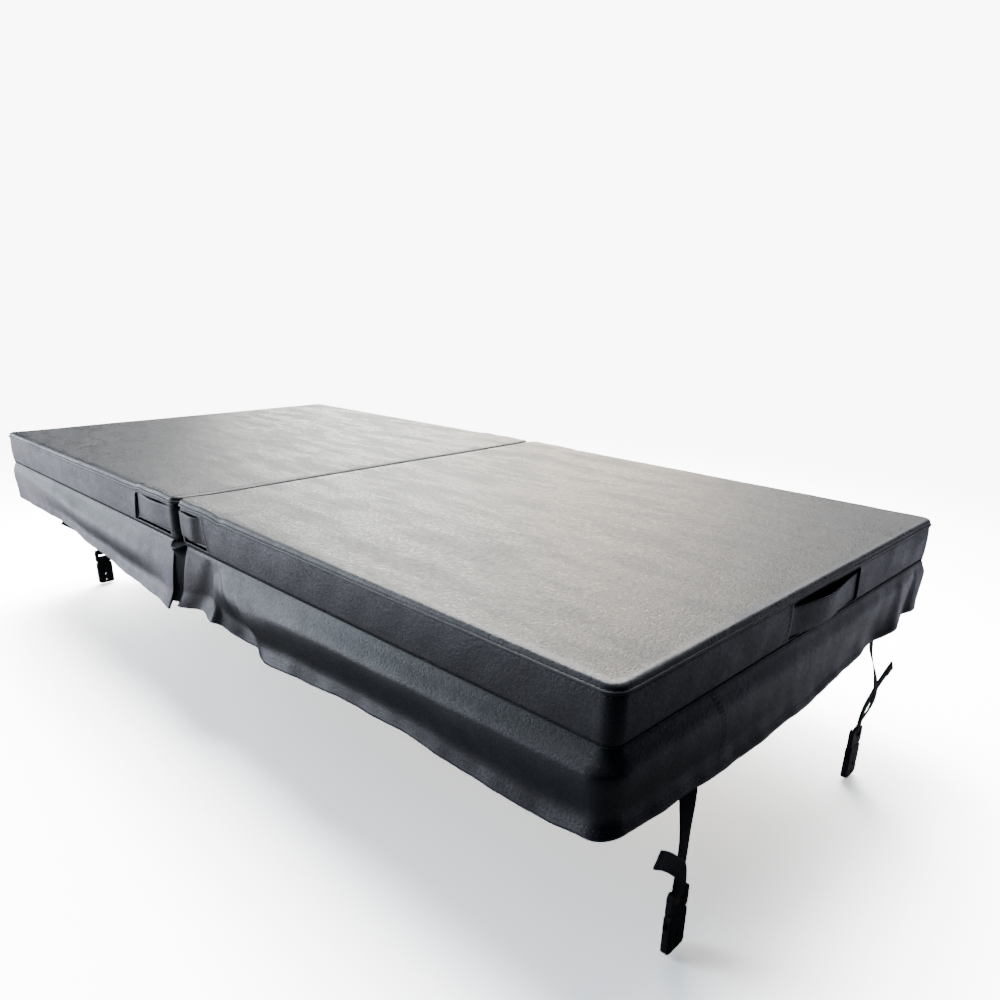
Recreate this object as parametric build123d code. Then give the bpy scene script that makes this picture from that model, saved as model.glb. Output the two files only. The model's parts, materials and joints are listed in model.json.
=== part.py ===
"""A two-panel folding cover for a long, narrow hot tub.

Two tapered foam panels in vinyl lie end to end and are joined by a fabric hinge at the top of
the fold, so that one panel lifts and turns over onto the other. A vinyl skirt hangs outside the
tub's rim, and four webbing straps with side-release buckles lock the cover down.

The origin is in the middle of the fold, on the plane in which the cover rests on the tub's rim.
X runs along the cover, with the left panel at negative X, Y runs across it, with the front at
negative Y, and Z is up. All sizes are in millimetres. Every piece of a panel is drawn for the
right panel and mirrored for the left one.
"""

import os

from build123d import *

# Panels
COVER_LENGTH = 2000.0  # along X, over both panels
COVER_WIDTH = 970.0  # along Y
EDGE_THICKNESS = 76.0  # at the two outer ends
FOLD_THICKNESS = 82.0  # at the fold, so that rain runs off
FOLD_HALF_GAP = 5.0  # from the middle of the fold to each panel's wall
CORNER_RADIUS = 20.0  # of a panel's upright corners
TOP_ROUND = 6.0  # rolled edge round the top

# Sheet materials
VINYL = 1.5  # marine vinyl with its knitted backing
WRAP = 0.6  # polyethylene film round the foam
FOLD_RELIEF = 2.8  # room behind the fold's wall for the back of the zip slider
CHANNEL_WALL = 1.2  # folded steel
CHANNEL_FLANGE = 40.0  # how far the channel grips the foam, along X
CHANNEL_END_GAP = 10.0  # from the channel's ends to the corner's curve
TOP_FLANGE = 10.0  # how far the top sheet turns down over the sides
WELT_SIZE = 3.2  # height of the piping in that seam
WELT_PROUD = 1.6  # how far the piping stands out of the seam
WELT_ROUND = 1.4
SEAM_INSET = 10.0  # from the corner's curve to the upright seams of the fold's wall
CLEARANCE = 0.3  # between pieces that don't touch

# Skirt
SKIRT_DROP = 118.0
SKIRT_SHEET = 1.6
SKIRT_BELLY = 16.0  # how far it swells out just below the seam
SKIRT_WAIST = 9.0  # it falls back in to this
SKIRT_FLARE = 16.0  # and stands out again at the hem
BELLY_DEPTH = 26.0  # below the seam
WAIST_DEPTH = 70.0
HEM_HEIGHT = 14.0
SLIT_HALF = 20.0  # half of the slit between the two panels' skirts
GUSSET_HALF = 38.0  # the gusset behind the slit reaches this far each way
GUSSET_SHEET = 0.8
GUSSET_SETBACK = 3.4  # its inner face, behind the panels' front faces

# Handles
HANDLE_SHEET = 3.0  # two layers of vinyl over webbing
HANDLE_BULGE = 9.0  # how far its middle stands out of the panel's side
HANDLE_TUCK = 10.0  # how far its sewn end runs on behind the side band
POCKET_DEPTH = 8.5  # from the panel's side to the pocket's floor
WINDOW_LAP = 4.0  # how far the side band laps over the pocket's rim
END_HANDLE_HALF = 115.0  # half of the window at a panel's outer end
END_HANDLE_Y = 28.0  # its middle, towards the rear
END_HANDLE_LOW = 8.0
END_HANDLE_TOP = 46.0
END_POCKET_TOP = 62.0
FOLD_HANDLE_REACH = {"left": 175.0, "right": 100.0}  # from the fold to its outer end
FOLD_HANDLE_LOW = 18.0
FOLD_HANDLE_TOP = 60.0
FOLD_POCKET_TOP = 70.0
FOLD_HANDLE_RETURN = 12.0  # how far it runs into the fold past the corner
POCKET_RIM = 4.0  # from the handle's lower edge to the pocket's lower edge

# Fold
SEAL_HEIGHT = 24.0
SEAL_END_GAP = 3.0  # from each of its ends to the handle there
SEAL_ROUND = 3.0
HINGE_SHEET = 1.0
HINGE_LAP = 8.0  # how much of each hinge leaf is sewn to its wall
HINGE_END_GAP = 1.0  # from its ends to the handles
ZIP_Z = 46.0
ZIP_END_GAP = 23.0  # from its ends to the handles
ZIP_SLIT = 6.0  # half height of the slit in the fold's wall
ZIP_TAPE_WIDTH = 13.0
ZIP_TAPE = 0.8
COIL_GAP = 0.6  # from the middle to each coil; the slider's divider runs between
COIL_WIDTH = 1.8
COIL_THICKNESS = 1.9
SLIDER_LENGTH = 14.0
SLIDER_HALF_HEIGHT = 4.5
SLIDER_PLATE = 1.1
PULL_LENGTH = 24.0
PULL_SHEET = 1.2
PULL_WIDTH = 6.0
PULL_PIN = 0.6  # radius of the pins on which it turns
PIN_SLACK = 0.05
SLIDER_ROUND = 2.0
SLIDER_LIP = 0.9

# Drains
DRAIN_END_GAP = 120.0  # from a panel's outer end to the middle of a drain
DRAIN_SIDE_GAP = 185.0  # from the front or rear
DRAIN_BORE = 5.5
DRAIN_TUBE = 6.3
DRAIN_FLANGE = 9.0
DRAIN_LIP = 1.0

# Tie-down straps and buckles
STRAP_SIDE_GAP = 185.0  # from the front or rear to the middle of the webbing
STRAP_INSET = 8.0  # from the panel's end face to the middle of the webbing
WEBBING_WIDTH = 25.0
WEBBING = 1.5
SWING_GAP = 12.0  # from the hem down to the line where the strap bends
STRAP_RUN = 170.0  # from there to its turn round the buckle's bar
BAR_HEIGHT = 10.0
BAR_THICKNESS = 4.0
TAIL_ANGLE = 40.0  # the loose tail leans forwards
TAIL_LENGTH = 120.0
TAIL_RISE = 9.0  # it stands upright this far above the buckle before it leans
TAIL_FOLD = 14.0  # its end is folded over and stitched
BUCKLE_WIDTH = 42.0
BUCKLE_ROUND = 6.0
PLUG_THICKNESS = 9.0
PLUG_SLOT = 9.0
PLUG_BODY = 17.0
PRONG_LENGTH = 26.0
PRONG_WIDTH = 5.0
PRONG_THICKNESS = 5.0
PRONG_OUTER = 17.0
GUIDE_WIDTH = 8.0
GUIDE_LENGTH = 20.0
SOCKET_THICKNESS = 11.0
SOCKET_HEIGHT = 64.0
SOCKET_SLACK = 0.4
SCREW_RADIUS = 2.25
SCREW_HEAD_RADIUS = 4.5
SCREW_SINK = 2.5
SCREW_SPACING = 18.0
SCREW_END = 9.0  # from the lower screw hole to the socket's lower end
BUTTON_LOW = 10.0  # the side windows of the socket, from its mouth
BUTTON_HIGH = 22.0

HALF_LENGTH = COVER_LENGTH / 2
HALF_WIDTH = COVER_WIDTH / 2
TAPER = (FOLD_THICKNESS - EDGE_THICKNESS) / HALF_LENGTH
CORNER_X = FOLD_HALF_GAP + CORNER_RADIUS  # where the front face begins, next to the fold
WELT_DROP = TOP_FLANGE - WELT_SIZE / 2  # from the top to the piping's upper side
FREE_HALF = HALF_WIDTH - CORNER_RADIUS - FOLD_HANDLE_RETURN  # half of the fold between the handles
SEAL_HALF = FREE_HALF - SEAL_END_GAP
HINGE_HALF = FREE_HALF - HINGE_END_GAP
ZIP_HALF = FREE_HALF - ZIP_END_GAP
DRAIN_X = HALF_LENGTH - DRAIN_END_GAP
DRAIN_Y = HALF_WIDTH - DRAIN_SIDE_GAP
STRAP_Y = HALF_WIDTH - STRAP_SIDE_GAP  # the front pair is at minus this, the rear pair at plus this
SWING_Z = -SKIRT_DROP - SWING_GAP
BAR_BOTTOM_Z = SWING_Z - STRAP_RUN
HINGE_Z = FOLD_THICKNESS - WELT_DROP - WELT_SIZE - HINGE_LAP - 2 * CLEARANCE
MARGIN = 60.0  # tools that cut run this far past what they cut


def box(x_low, x_high, y_low, y_high, z_low, z_high):
    """A block between two corners."""
    middle = Pos((x_low + x_high) / 2, (y_low + y_high) / 2, (z_low + z_high) / 2)
    return middle * Box(x_high - x_low, y_high - y_low, z_high - z_low)


def along_y(points, half):
    """A prism that runs across the cover, from its outline in X and Z."""
    return extrude(Plane.XZ * Polygon(*points, align=None), half, both=True)


def under_top(drop, floor):
    """All that lies above a floor and at least drop below the sloping top."""
    low, high = -MARGIN, HALF_LENGTH + MARGIN
    top = FOLD_THICKNESS - drop
    outline = [(low, floor), (high, floor), (high, top - TAPER * high), (low, top - TAPER * low)]
    return along_y(outline, HALF_WIDTH + MARGIN)


def panel(inset, fold_inset, drop, floor):
    """The right panel's block, taken in by inset on three sides and by fold_inset at the fold."""
    low, high = FOLD_HALF_GAP + fold_inset, HALF_LENGTH - inset
    outline = RectangleRounded(high - low, COVER_WIDTH - 2 * inset, CORNER_RADIUS - inset)
    upright = extrude(Pos((low + high) / 2, 0, -MARGIN) * outline, FOLD_THICKNESS + 2 * MARGIN)
    return upright & under_top(drop, floor)


def rolled_panel(inset, fold_inset, drop, floor):
    """The same block with its top edge rolled over."""
    block = panel(inset, fold_inset, drop, floor)
    top = block.faces().sort_by(Axis.Z)[-1]
    return fillet(top.edges(), TOP_ROUND - inset)


def pockets(side, grow):
    """The space of the three handle pockets of a panel, grown by this much inside the panel."""
    low, high = VINYL, POCKET_DEPTH + VINYL + grow
    spread = VINYL + grow
    reach = END_HANDLE_HALF + HANDLE_TUCK + spread
    end = box(
        HALF_LENGTH - high,
        HALF_LENGTH - low,
        END_HANDLE_Y - reach,
        END_HANDLE_Y + reach,
        END_HANDLE_LOW - POCKET_RIM - spread,
        END_POCKET_TOP + spread,
    )
    front = box(
        CORNER_X + WINDOW_LAP - spread,
        FOLD_HANDLE_REACH[side] + HANDLE_TUCK + spread,
        low - HALF_WIDTH,
        high - HALF_WIDTH,
        FOLD_HANDLE_LOW - POCKET_RIM - spread,
        FOLD_POCKET_TOP + spread,
    )
    return [end, front, mirror(front, about=Plane.XZ)]


def windows(side):
    """The openings in the side band through which the handles are reached."""
    end = box(
        HALF_LENGTH - 2 * VINYL,
        HALF_LENGTH + MARGIN,
        END_HANDLE_Y - END_HANDLE_HALF,
        END_HANDLE_Y + END_HANDLE_HALF,
        END_HANDLE_LOW - POCKET_RIM + WINDOW_LAP / 2,
        END_POCKET_TOP - WINDOW_LAP / 2,
    )
    front = box(
        CORNER_X + WINDOW_LAP,
        FOLD_HANDLE_REACH[side],
        -HALF_WIDTH - MARGIN,
        2 * VINYL - HALF_WIDTH,
        FOLD_HANDLE_LOW - POCKET_RIM + WINDOW_LAP / 2,
        FOLD_POCKET_TOP - WINDOW_LAP / 2,
    )
    return [end, front, mirror(front, about=Plane.XZ)]


def handle_pockets(side):
    """Shallow vinyl trays behind the windows, each open to the outside."""
    trays = []
    for outer, inner in zip(pockets(side, 0), pockets(side, -VINYL)):
        trays.append(outer - inner)
    return trays


def covering(side):
    """The vinyl of one panel: top sheet, side band, fold wall and bottom liner."""
    skin = rolled_panel(0, 0, 0, 0) - rolled_panel(VINYL, VINYL, VINYL, VINYL)
    flat = box(0, HALF_LENGTH, -HALF_WIDTH, HALF_WIDTH, 0, VINYL)
    seam_y = HALF_WIDTH - CORNER_RADIUS - SEAM_INSET
    at_fold = box(0, CORNER_X, -seam_y, seam_y, VINYL, FOLD_THICKNESS)
    slit = box(0, CORNER_X, -ZIP_HALF, ZIP_HALF, ZIP_Z - ZIP_SLIT, ZIP_Z + ZIP_SLIT)
    sides = (skin - flat) & under_top(TOP_FLANGE, 0)
    liner = skin & flat
    for x, y in drain_places():
        liner -= Pos(x, y, 0) * Cylinder(DRAIN_TUBE, 4 * VINYL)
    band = sides - at_fold
    for window in windows(side):
        band -= window
    return {
        "top_panel": skin - under_top(TOP_FLANGE, -MARGIN),
        "side_band": band,
        "fold_wall": (sides & at_fold) - slit,
        "bottom_liner": liner,
    }


def filling(side):
    """Foam, the steel channel that stiffens its fold edge, and the film round both.

    The foam is one block as deep as the pockets' floors, with strips glued to its edges that
    leave the pockets free.
    """
    outer = rolled_panel(VINYL, VINYL + FOLD_RELIEF, VINYL, VINYL)
    skin = VINYL + WRAP
    core = rolled_panel(skin, skin + FOLD_RELIEF, skin, skin)
    deep = skin + CHANNEL_WALL
    inside = panel(deep, deep + FOLD_RELIEF, deep, deep)
    for pocket in pockets(side, 0):
        outer -= pocket
    for pocket in pockets(side, WRAP):
        core -= pocket
    half = HALF_WIDTH - CORNER_RADIUS - CHANNEL_END_GAP
    grip = FOLD_HALF_GAP + skin + FOLD_RELIEF + CHANNEL_FLANGE
    channel = (core & box(0, grip, -half, half, 0, FOLD_THICKNESS)) - inside
    deep = skin + POCKET_DEPTH
    wide = HALF_WIDTH - deep
    block = core & box(0, HALF_LENGTH - deep, -wide, wide, 0, FOLD_THICKNESS)
    edging = core - block
    strips = []
    for pocket in pockets(side, WRAP):
        ends = pocket.bounding_box()
        column = box(ends.min.X, ends.max.X, ends.min.Y, ends.max.Y, 0, FOLD_THICKNESS)
        strips.append(edging & column)
        edging -= column
    return {
        "vapor_wrap": outer - core,
        "stiffener_channel": channel,
        "foam_core": block - channel,
        "foam_edges": [edging] + strips,
    }


def welt():
    """Piping that stands out of the seam between the top sheet and the sides."""
    block = panel(-WELT_PROUD, -WELT_PROUD, WELT_DROP, 0)
    ring = block - under_top(WELT_DROP + WELT_SIZE, -MARGIN)
    flats = ring.faces().sort_by(SortBy.AREA)[-2:]
    rims = [edge for flat in flats for edge in flat.edges()]
    return fillet(rims, WELT_ROUND) - panel(0, 0, 0, 0)


def skirt_profile(near, far, top):
    """The skirt between two depths behind its outer face, up to this height: X is outwards."""
    outline = [
        (0, 0),
        (SKIRT_BELLY, -BELLY_DEPTH),
        (SKIRT_WAIST, -WAIST_DEPTH),
        (SKIRT_FLARE, -SKIRT_DROP),
    ]
    falls = [(0.9, -0.45), (0.05, -1), (0, -1), (0.45, -0.9)]
    outer = Spline(*[(x - near, z) for x, z in outline], tangents=falls)
    inner = Spline(*[(x - far, z) for x, z in outline], tangents=falls)
    edges = [outer, inner, Line(outer @ 0, inner @ 0), Line(outer @ 1, inner @ 1)]
    clip = Pos(0, (top - SKIRT_DROP) / 2) * Rectangle(4 * MARGIN, top + SKIRT_DROP)
    return make_face(edges) & clip


def round_panel(profile):
    """Carries a profile, drawn outwards from the panel's side, round its three free sides."""
    straight = HALF_LENGTH - CORNER_RADIUS
    side = HALF_WIDTH - CORNER_RADIUS
    at_front = Plane((straight, -HALF_WIDTH, 0), x_dir=(0, -1, 0), z_dir=(-1, 0, 0))
    at_end = Plane((HALF_LENGTH, 0, 0), x_dir=(1, 0, 0), z_dir=(0, -1, 0))
    front = extrude(at_front * profile, straight - SLIT_HALF)
    corner = revolve(at_front * profile, Axis((straight, -side, 0), (0, 0, 1)), 90)
    end = extrude(at_end * profile, side, both=True)
    return front + corner + end + mirror(corner, about=Plane.XZ) + mirror(front, about=Plane.XZ)


def end_handle():
    """A loop of vinyl-covered webbing that bows out of its window."""
    half, tuck = END_HANDLE_HALF, END_HANDLE_HALF + HANDLE_TUCK
    near, far = -VINYL, -VINYL - HANDLE_SHEET
    outer = ThreePointArc((near, -half), (HANDLE_BULGE, 0), (near, half))
    inner = ThreePointArc((far, half), (HANDLE_BULGE - HANDLE_SHEET, 0), (far, -half))
    rear_tab = Polyline(outer @ 1, (near, tuck), (far, tuck), inner @ 0)
    front_tab = Polyline(inner @ 1, (far, -tuck), (near, -tuck), outer @ 0)
    ribbon = make_face([outer, rear_tab, inner, front_tab])
    loop = extrude(ribbon, END_HANDLE_TOP - END_HANDLE_LOW)
    return Pos(HALF_LENGTH, END_HANDLE_Y, END_HANDLE_LOW) * loop


def front_handle(reach):
    """The same kind of loop next to the fold, whose inner end wraps round into the fold."""
    near, far = VINYL, VINYL + HANDLE_SHEET
    middle = (reach + CORNER_X) / 2
    turn, back = CORNER_RADIUS, CORNER_RADIUS + FOLD_HANDLE_RETURN
    wide = CORNER_RADIUS + HANDLE_SHEET
    wall = FOLD_HALF_GAP
    outer = ThreePointArc((reach, near), (middle, -HANDLE_BULGE), (CORNER_X, -HANDLE_SHEET))
    outer_turn = CenterArc((CORNER_X, turn), wide, 180, 90)
    inner_turn = CenterArc((CORNER_X, turn), CORNER_RADIUS, 180, 90)
    inner = ThreePointArc((CORNER_X, 0), (middle, HANDLE_SHEET - HANDLE_BULGE), (reach, far))
    returned = Polyline(
        (wall - HANDLE_SHEET, turn), (wall - HANDLE_SHEET, back), (wall, back), (wall, turn)
    )
    tab = Polyline((reach, far), (reach + HANDLE_TUCK, far), (reach + HANDLE_TUCK, near), (reach, near))
    ribbon = make_face([outer, outer_turn, returned, inner_turn, inner, tab])
    loop = extrude(ribbon, FOLD_HANDLE_TOP - FOLD_HANDLE_LOW)
    return Pos(0, -HALF_WIDTH, FOLD_HANDLE_LOW) * loop


def hinge_leaf():
    """Half of the fabric hinge: sewn to the wall, then hanging in a U to the middle."""
    wide = FOLD_HALF_GAP
    slim = wide - HINGE_SHEET
    split = CLEARANCE / 2
    bottom = Circle(wide) - Circle(slim)
    quarter = bottom & (Pos(split + wide / 2, -wide) * Rectangle(wide, 2 * wide))
    lap = Pos(wide - HINGE_SHEET / 2, HINGE_LAP / 2) * Rectangle(HINGE_SHEET, HINGE_LAP)
    return extrude(Plane.XZ * (Pos(0, HINGE_Z) * (quarter + lap)), HINGE_HALF, both=True)


def zipper():
    """Tapes behind the fold's wall, with a coil along the edge of each."""
    tape_low = FOLD_HALF_GAP + VINYL
    edge = COIL_GAP + COIL_WIDTH
    tape = box(tape_low, tape_low + ZIP_TAPE, -ZIP_HALF, ZIP_HALF, edge, edge + ZIP_TAPE_WIDTH)
    middle = tape_low + ZIP_TAPE / 2
    coil = box(
        middle - COIL_THICKNESS / 2,
        middle + COIL_THICKNESS / 2,
        -ZIP_HALF,
        ZIP_HALF,
        COIL_GAP,
        edge,
    )
    tapes = [Pos(0, 0, ZIP_Z) * tape, Pos(0, 0, ZIP_Z) * mirror(tape, about=Plane.XY)]
    coils = [Pos(0, 0, ZIP_Z) * coil, Pos(0, 0, ZIP_Z) * mirror(coil, about=Plane.XY)]
    return tapes, coils


def slider_place():
    """Where the slider stands when the zip is shut: its middle along Y."""
    return ZIP_HALF - SLIDER_LENGTH / 2 - 2 * CLEARANCE


def zip_slider():
    """Two plates joined by a thin divider, with lips that hold the tapes and lugs for the pull."""
    tape_low = FOLD_HALF_GAP + VINYL
    coil_front = tape_low + ZIP_TAPE / 2 - COIL_THICKNESS / 2
    front = coil_front - CLEARANCE
    back = coil_front + COIL_THICKNESS + CLEARANCE
    face = front - SLIDER_PLATE
    half, tall = SLIDER_LENGTH / 2, SLIDER_HALF_HEIGHT
    outline = Plane.YZ * RectangleRounded(2 * half, 2 * tall, SLIDER_ROUND)
    slider = Pos(face) * extrude(outline, SLIDER_PLATE)
    slider += Pos(back) * extrude(outline, SLIDER_PLATE)
    divider = COIL_GAP - CLEARANCE
    slider += box(front, back, half - 2 * SLIDER_ROUND, half - SLIDER_ROUND / 2, -divider, divider)
    lip_end = half - SLIDER_ROUND
    for low, high in ((-tall, SLIDER_LIP - tall), (tall - SLIDER_LIP, tall)):
        slider += box(front, tape_low - CLEARANCE, -lip_end, lip_end, low, high)
    inner = PULL_WIDTH / 2 + CLEARANCE
    for low, high in ((-inner - SLIDER_LIP, -inner), (inner, inner + SLIDER_LIP)):
        slider += box(face - 2 * PULL_SHEET, face, -PULL_SHEET, PULL_SHEET, low, high)
    eye = Cylinder(PULL_PIN + PIN_SLACK, 4 * PULL_WIDTH)
    slider -= Pos(face - PULL_SHEET) * eye
    return Pos(0, slider_place(), ZIP_Z) * slider


def zip_pull():
    """A flat tab whose two small pins turn in the slider's lugs."""
    tape_low = FOLD_HALF_GAP + VINYL
    face = tape_low + ZIP_TAPE / 2 - COIL_THICKNESS / 2 - CLEARANCE - SLIDER_PLATE
    outline = RectangleRounded(PULL_LENGTH, PULL_WIDTH, PULL_WIDTH / 2 - PULL_SHEET)
    hole = Pos(-PULL_LENGTH / 2 + PULL_WIDTH / 2) * Circle(PULL_WIDTH / 4)
    tab = extrude(Plane.YZ * (outline - hole), PULL_SHEET / 2, both=True)
    tab = Pos(0, PULL_PIN - PULL_LENGTH / 2) * tab
    tab += Cylinder(PULL_PIN, PULL_WIDTH + 2 * (CLEARANCE + SLIDER_LIP))
    return Pos(face - PULL_SHEET, slider_place(), ZIP_Z) * tab


def fold_seal():
    """A foam-filled strip on the left panel that closes the foot of the fold."""
    strip = box(
        -FOLD_HALF_GAP, FOLD_HALF_GAP - CLEARANCE, -SEAL_HALF, SEAL_HALF, 0, SEAL_HEIGHT
    )
    top = strip.edges().filter_by(Axis.Y).group_by(Axis.Z)[-1]
    return fillet(top, SEAL_ROUND)


def fold_gussets():
    """Flat flaps that close the slits between the two skirts from behind."""
    low = -HALF_WIDTH + GUSSET_SETBACK - GUSSET_SHEET
    flap = box(
        -GUSSET_HALF, GUSSET_HALF, low, low + GUSSET_SHEET, HEM_HEIGHT - SKIRT_DROP, -CLEARANCE
    )
    return [flap, mirror(flap, about=Plane.XZ)]


def drain_places():
    """Where a panel's two drain eyelets are."""
    return [(DRAIN_X, -DRAIN_Y), (DRAIN_X, DRAIN_Y)]


def drain_eyelets():
    """Tubes with a flange below the liner, which let trapped water out."""
    tube = Pos(0, 0, VINYL / 2) * Cylinder(DRAIN_TUBE, VINYL)
    flange = Pos(0, 0, -DRAIN_LIP / 2) * Cylinder(DRAIN_FLANGE, DRAIN_LIP)
    flange = fillet(flange.edges().sort_by(Axis.Z)[0], DRAIN_LIP * 0.6)
    eyelet = tube + flange - Cylinder(DRAIN_BORE, 4 * VINYL)
    return [Pos(x, y, 0) * eyelet for x, y in drain_places()]


def strap_x():
    """The middle of the webbing, behind the skirt at a panel's outer end."""
    return HALF_LENGTH - STRAP_INSET


def turn_radius():
    """The radius of the webbing's turn round the buckle's bar, at its middle."""
    return BAR_THICKNESS / 2 + CLEARANCE + WEBBING / 2


def strap_anchors():
    """The sewn lengths of the two straps, from the panel's underside to just above the bend."""
    x, half = strap_x(), WEBBING_WIDTH / 2
    low = SWING_Z + WEBBING / 2 + CLEARANCE
    anchor = box(x - WEBBING / 2, x + WEBBING / 2, -half - STRAP_Y, half - STRAP_Y, low, 0)
    return [anchor, mirror(anchor, about=Plane.XZ)]


def strap():
    """The front strap: down to the buckle, round its bar and back up as a loose tail."""
    half = WEBBING / 2
    wide = WEBBING_WIDTH / 2
    turn = turn_radius()
    run = box(-half, half, -wide, wide, BAR_BOTTOM_Z, SWING_Z)
    run += Pos(0, 0, SWING_Z) * Rot(90) * Cylinder(half, WEBBING_WIDTH)
    ring = Circle(turn + half) - Circle(turn - half)
    below = ring & (Pos(0, -turn) * Rectangle(4 * turn, 2 * turn))
    bend = extrude(Plane.XZ * below, wide, both=True)
    run += Pos(turn, 0, BAR_BOTTOM_Z) * bend
    tail = box(-half, half, -wide, wide, -half, TAIL_LENGTH)
    tail += box(-half, 3 * half, -wide, wide, TAIL_LENGTH - TAIL_FOLD, TAIL_LENGTH)
    rise = BAR_HEIGHT + TAIL_RISE
    tail = Pos(0, 0, rise) * Rot(TAIL_ANGLE) * tail + box(-half, half, -wide, wide, 0, rise)
    run += Pos(2 * turn, 0, BAR_BOTTOM_Z) * tail
    return Pos(strap_x(), -STRAP_Y, 0) * run


def buckle_place():
    """The middle of the buckle's bar at its lower edge."""
    return Pos(strap_x() + turn_radius(), -STRAP_Y, BAR_BOTTOM_Z)


def buckle_plug():
    """The half on the strap: a frame with a bar, and two prongs beside a guide."""
    shoulder = -PLUG_SLOT - PLUG_BODY
    rail = (BUCKLE_WIDTH - WEBBING_WIDTH) / 2 - 2 * CLEARANCE
    height = BAR_HEIGHT + PLUG_SLOT + PLUG_BODY
    outline = Pos(0, BAR_HEIGHT - height / 2) * RectangleRounded(BUCKLE_WIDTH, height, BUCKLE_ROUND)
    gap = BUCKLE_WIDTH - 2 * rail
    frame = outline - Pos(0, (BAR_HEIGHT - PLUG_SLOT) / 2) * Rectangle(gap, BAR_HEIGHT + PLUG_SLOT)
    plug = extrude(Plane.YZ * frame, PLUG_THICKNESS / 2, both=True)
    bar = Plane.YZ * (Pos(0, BAR_HEIGHT / 2) * Rectangle(gap, BAR_HEIGHT))
    plug += extrude(bar, BAR_THICKNESS / 2, both=True)
    guide = Pos(0, shoulder - GUIDE_LENGTH / 2 + 1) * Rectangle(GUIDE_WIDTH, GUIDE_LENGTH + 2)
    tongue = extrude(Plane.YZ * guide, PRONG_THICKNESS / 2, both=True)
    for sign in (-1, 1):
        outer, inner = sign * PRONG_OUTER, sign * (PRONG_OUTER - PRONG_WIDTH)
        root, tip = shoulder + 2, shoulder - PRONG_LENGTH
        prong = Polygon(
            (inner, root),
            (outer - sign * 2, root),
            (outer - sign * 2, shoulder - BUTTON_LOW + SOCKET_SLACK),
            (outer, shoulder - BUTTON_LOW - 3),
            (outer, shoulder - BUTTON_HIGH + SOCKET_SLACK),
            (inner + sign * 2, tip),
            (inner, tip),
            align=None,
        )
        tongue += extrude(Plane.YZ * prong, PRONG_THICKNESS / 2, both=True)
    return buckle_place() * (plug + tongue)


def socket_mouth_z():
    """The height of the socket's mouth, just clear of the plug's shoulder."""
    return BAR_BOTTOM_Z - PLUG_SLOT - PLUG_BODY - CLEARANCE


def buckle_socket():
    """The half that is screwed to the tub: a pocket for the prongs and two countersunk holes."""
    face = Pos(0, -SOCKET_HEIGHT / 2) * RectangleRounded(BUCKLE_WIDTH, SOCKET_HEIGHT, BUCKLE_ROUND)
    socket = extrude(Plane.YZ * face, SOCKET_THICKNESS / 2, both=True)
    socket = chamfer(socket.faces().sort_by(Axis.X)[-1].edges(), 1)
    deep = PRONG_LENGTH + 2 * SOCKET_SLACK
    wide = PRONG_OUTER + SOCKET_SLACK
    thick = PRONG_THICKNESS / 2 + SOCKET_SLACK
    socket -= box(-thick, thick, -wide, wide, -deep, 1)
    socket -= box(-thick, thick, -BUCKLE_WIDTH, BUCKLE_WIDTH, -BUTTON_HIGH, -BUTTON_LOW)
    for z in screw_heights():
        hole = Cylinder(SCREW_RADIUS, 2 * SOCKET_THICKNESS)
        sink = Pos(0, 0, SOCKET_THICKNESS / 2 - SCREW_SINK / 2)
        hole += sink * Cone(SCREW_RADIUS, SCREW_HEAD_RADIUS, SCREW_SINK)
        socket -= Pos(0, 0, z) * Rot(0, 90) * hole
    return Pos(strap_x() + turn_radius(), -STRAP_Y, socket_mouth_z()) * socket


def screw_heights():
    """The two screw holes, below the socket's mouth."""
    low = SCREW_END - SOCKET_HEIGHT
    return [low, low + SCREW_SPACING]


def save(name, shape, side, rear=False):
    """Writes a piece of the right panel, or its mirror image for the left one or the rear."""
    solids = shape if isinstance(shape, list) else [shape]
    if rear:
        solids = [mirror(s, about=Plane.XZ) for s in solids]
    if side == "left":
        solids = [mirror(s, about=Plane.YZ) for s in solids]
    whole = Compound([solid for s in solids for solid in s.solids()])
    export_step(whole, f"parts/{name}.step")


def save_panel(side):
    """Writes every piece of one panel."""
    pieces = covering(side)
    pieces.update(filling(side))
    tapes, coils = zipper()
    skirt = skirt_profile(0, SKIRT_SHEET, 0)
    facing = skirt_profile(SKIRT_SHEET, 2 * SKIRT_SHEET, HEM_HEIGHT - SKIRT_DROP)
    handle = front_handle(FOLD_HANDLE_REACH[side])
    pieces.update(
        {
            "handle_pockets": handle_pockets(side),
            "welt": welt(),
            "skirt": round_panel(skirt),
            "hem": round_panel(facing),
            "end_handle": end_handle(),
            "front_handle": handle,
            "rear_handle": mirror(handle, about=Plane.XZ),
            "hinge_leaf": hinge_leaf(),
            "zip_tapes": tapes,
            "zip_coils": coils,
            "drain_eyelets": drain_eyelets(),
            "strap_anchors": strap_anchors(),
        }
    )
    for name, shape in pieces.items():
        save(f"{side}_{name}", shape, side)
    # the two sliders stand at opposite ends of the fold, so that their pulls don't meet
    at_front = side == "left"
    save(f"{side}_zip_slider", zip_slider(), side, rear=at_front)
    save(f"{side}_zip_pull", zip_pull(), side, rear=at_front)


def save_straps(side):
    """Writes the strap, plug and socket at a panel's two outer corners."""
    for corner, rear in (("front", False), ("rear", True)):
        save(f"{side}_{corner}_strap", strap(), side, rear)
        save(f"{side}_{corner}_buckle_plug", buckle_plug(), side, rear)
        save(f"{side}_{corner}_buckle_socket", buckle_socket(), side, rear)


os.makedirs("parts", exist_ok=True)
for panel_side in ("left", "right"):
    save_panel(panel_side)
    save_straps(panel_side)
save("fold_seal", fold_seal(), "right")
save("fold_gussets", fold_gussets(), "right")
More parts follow.
